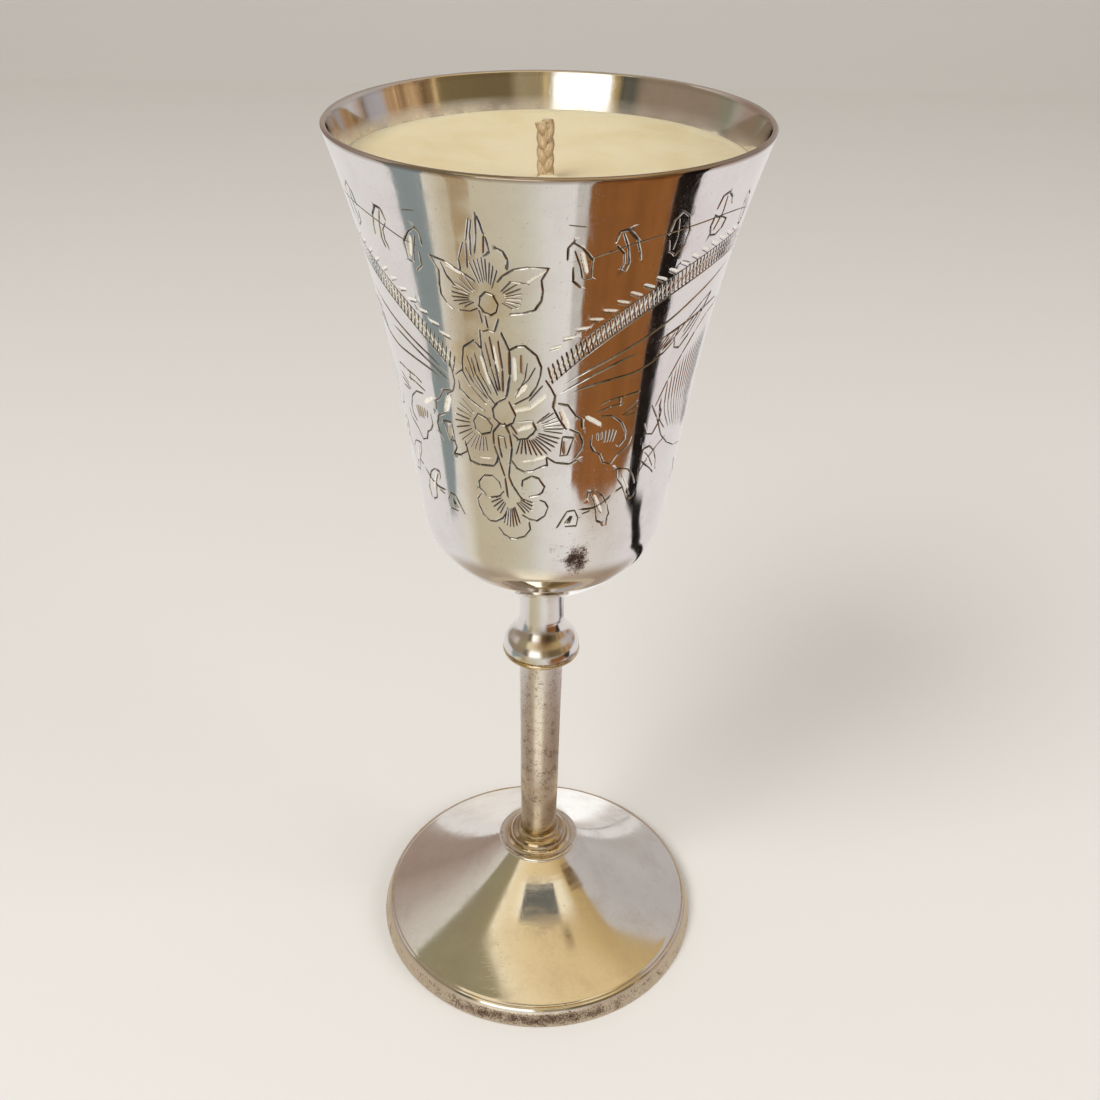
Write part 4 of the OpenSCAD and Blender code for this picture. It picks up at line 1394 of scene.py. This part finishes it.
def table_seen(n):
    """What the metal mirrors in the table round it: pale cloth with darker shapes on it.

    Most shapes are bounded by straight lines over the table, in millimetres.
    """
    mm = n.millimetres(n.add("ShaderNodeNewGeometry").outputs["Position"])
    x, y, _ = n.add("ShaderNodeSeparateXYZ", in_Vector=mm).outputs
    azimuth = n.azimuth(x, y)
    share = n.share(azimuth)
    shake = n.times(n.minus(n.noise(mm, 0.035, 3, 0.6), 0.5), 9.0)
    out = n.math("POWER", n.plus(n.times(x, x), n.times(y, y)), 0.5)

    def beyond(px, py, nx, ny, soft=2.0, wavy=1.0):
        """1 on the side of the line through p that its normal points to."""
        gap = n.minus(n.plus(n.times(x, nx), n.times(y, ny)), px * nx + py * ny)
        return n.step(n.plus(gap, n.times(shake, wavy)), -soft, soft)

    cloth = n.round_about(share, (-180, (.86, .85, .84)), (-100, (.86, .85, .86)), (-84, (.84, .83,
        .84)), (-72, (.84, .82, .78)), (-60, (.74, .70, .61)), (-30, (.76, .73, .65)), (-14,
        (.78, .76, .70)), (0, (.84, .83, .82)), (24, (.88, .87, .88)), (40, (.84, .82, .80)),
        (62, (.82, .80, .79)), (90, (.86, .84, .86)), (180, (.86, .85, .84)))
    close = n.round_about(share, (-180, (.88, .86, .84)), (-160, (.90, .88, .86)), (-128,
        (.68, .63, .58)), (-70, (.64, .58, .51)), (-40, (.70, .64, .57)), (-22, (.93, .89, .81)),
        (4, (.93, .89, .81)), (26, (.70, .63, .56)), (95, (.60, .53, .47)), (152, (.62, .56, .50)),
        (160, (1, 1, 1)), (172, (1, 1, 1)), (180, (.88, .86, .84)))
    close = n.mix(n.step(out, 44, 50), srgb(.72, .66, .58), close)
    cloth = n.mix(n.step(out, 120, 60), cloth, close)
    brown = n.times(beyond(63, -150, .90, .43, 0.8, 0.12), beyond(79, -125, .627, -.78, 1.5, 1.2),
        beyond(150, -35, -.453, -.892, 2))
    black = n.times(beyond(150, -35, .453, .892, 2, 0), beyond(0, -8, 0, -1, 1.5, 0.3),
        beyond(151, -9, 1, .05, 2, 0))
    # A black stripe that widens along a curved middle line.
    line = ((36, 132), (50, 112), (66, 92), (85, 74), (105, 58), (125, 41), (140, 24), (152, 6))
    curve = n.ramp(n.math("DIVIDE", x, 200.0), [(px / 200, (py / 200,) * 3 + (1,)) for px,
        py in line])
    curve = n.add("ShaderNodeSeparateXYZ", in_Vector=curve).outputs[0]
    sway = n.plus(y, n.times(shake, 0.35))
    off = n.math("ABSOLUTE", n.minus(sway, n.times(curve, 200.0)))
    stripe = n.times(n.step(n.minus(off, n.step(x, 45, 150, 6.0, 17.0)), -1.5, 1.5, 1, 0),
        n.step(x, 34, 40), n.step(x, 160, 166, 1, 0), beyond(0, -12, 0, 1, 1, 0))
    blue = n.times(beyond(0, 5, 0, -1, 1.2, 0.2), beyond(-150, -12, -.92, 0.39, 2),
        beyond(-150, -16, -.70, .76, 2, 0.6), n.step(x, -155, -149, 1, 0))
    shade = n.step(n.noise(mm, 0.02, 3), 0.35, 0.7)
    tan = n.times(n.step(azimuth, -57, -55.5), n.step(azimuth, -44.5, -43, 1, 0), n.step(out, 188,
        196), n.step(x, 0, 1, 1, 0), n.step(y, -60, -61))
    edge = n.times(n.step(azimuth, 15, 17), n.step(azimuth, 23, 24.4, 1, 0), n.step(y, -100, -104),
        n.step(out, 168, 176))
    seen = cloth
    for part, colour in ((brown, n.mix(shade, srgb(.47, .30, .16), srgb(.56, .36, .20))),
                         (blue, srgb(.52, .56, .57)), (n.times(tan, 0.8), srgb(.62, .52, .38)),
                         (n.times(edge, 0.55), srgb(.58, .55, .50)),
                         (n.math("MAXIMUM", black, stripe), srgb(.11, .09, .08))):
        seen = n.mix(part, seen, colour)
    return seen


def area_light(name, place, size, power, target=(0, 0, 0.09)):
    """A soft white disc of light aimed at the goblet, which the metal does not mirror."""
    lamp = bpy.data.lights.new(name, "AREA")
    lamp.shape = "DISK"
    lamp.size = size
    lamp.energy = power
    item = bpy.data.objects.new(name, lamp)
    item.location = place
    item.rotation_euler = (Vector(target) - Vector(place)).to_track_quat("-Z", "Y").to_euler()
    item.visible_glossy = False
    bpy.context.scene.collection.objects.link(item)


def sheet(name, run, finish):
    """A wide sheet of stage along a run of (y, z) stations."""
    verts, faces = [], []
    for y, z in run:
        verts += [(-2.5, y, z), (2.5, y, z)]
    for i in range(len(run) - 1):
        faces.append((2 * i, 2 * i + 1, 2 * i + 3, 2 * i + 2))
    mesh = bpy.data.meshes.new(name)
    mesh.from_pydata(verts, [], faces)
    mesh.shade_smooth()
    mesh.materials.append(finish)
    item = bpy.data.objects.new(name, mesh)
    bpy.context.scene.collection.objects.link(item)
    return item


def build_stage():
    """A pale table top that glows with a painted reflection pattern for glossy rays alone and,
    joined on behind it, a backdrop that the metal does not mirror.
    """
    made, n = material("pale_floor_with_mirrored_glow", srgb(.90, .89, .87))
    cloth = n.add("ShaderNodeBsdfPrincipled", in_Base__Color=srgb(.90, .885, .865),
                  in_Roughness=0.85)
    # For glossy rays the table glows with a painted reflection pattern instead of lit cloth.
    mirrored = n.add("ShaderNodeEmission", in_Color=table_seen(n), in_Strength=1.12)
    glossy = n.add("ShaderNodeLightPath").outputs["Is Glossy Ray"]
    n.add("ShaderNodeOutputMaterial", in_Surface=n.either(glossy, cloth, mirrored))
    sheet("floor", [(y, 0.0) for y in (-1.6, -0.8, 0.0, 0.5, 0.9)], made)
    rise = [(0.9 + 0.7 * math.sin(a), 0.7 - 0.7 * math.cos(a))
            for a in np.linspace(0, math.pi / 2, 16)]
    backdrop = sheet("backdrop", rise + [(1.6, 1.2), (1.6, 2.2)], made)
    backdrop.visible_glossy = False


def build_camera():
    """The camera of the photograph: fitted to the rim, foot and collar rings."""
    camera = bpy.data.cameras.new("camera")
    camera.sensor_width = 36.0
    camera.lens = 40.25
    camera.shift_x = 0.0067
    camera.clip_start = 0.01
    item = bpy.data.objects.new("camera", camera)
    bpy.context.scene.collection.objects.link(item)
    roll = Matrix.Rotation(math.radians(0.86), 4, "Z")
    tilt = Matrix.Rotation(math.pi / 2 - PITCH, 4, "X")
    item.matrix_world = Matrix.Translation((0, -0.2017, 0.2241)) @ tilt @ roll
    bpy.context.scene.camera = item


room()
build_stage()
area_light("key", (-0.5, -0.5, 0.9), 0.5, 7.0)
area_light("fill", (0.8, -0.3, 0.6), 0.6, 3.0)
build_camera()
bpy.context.scene.view_settings.view_transform = "Standard"
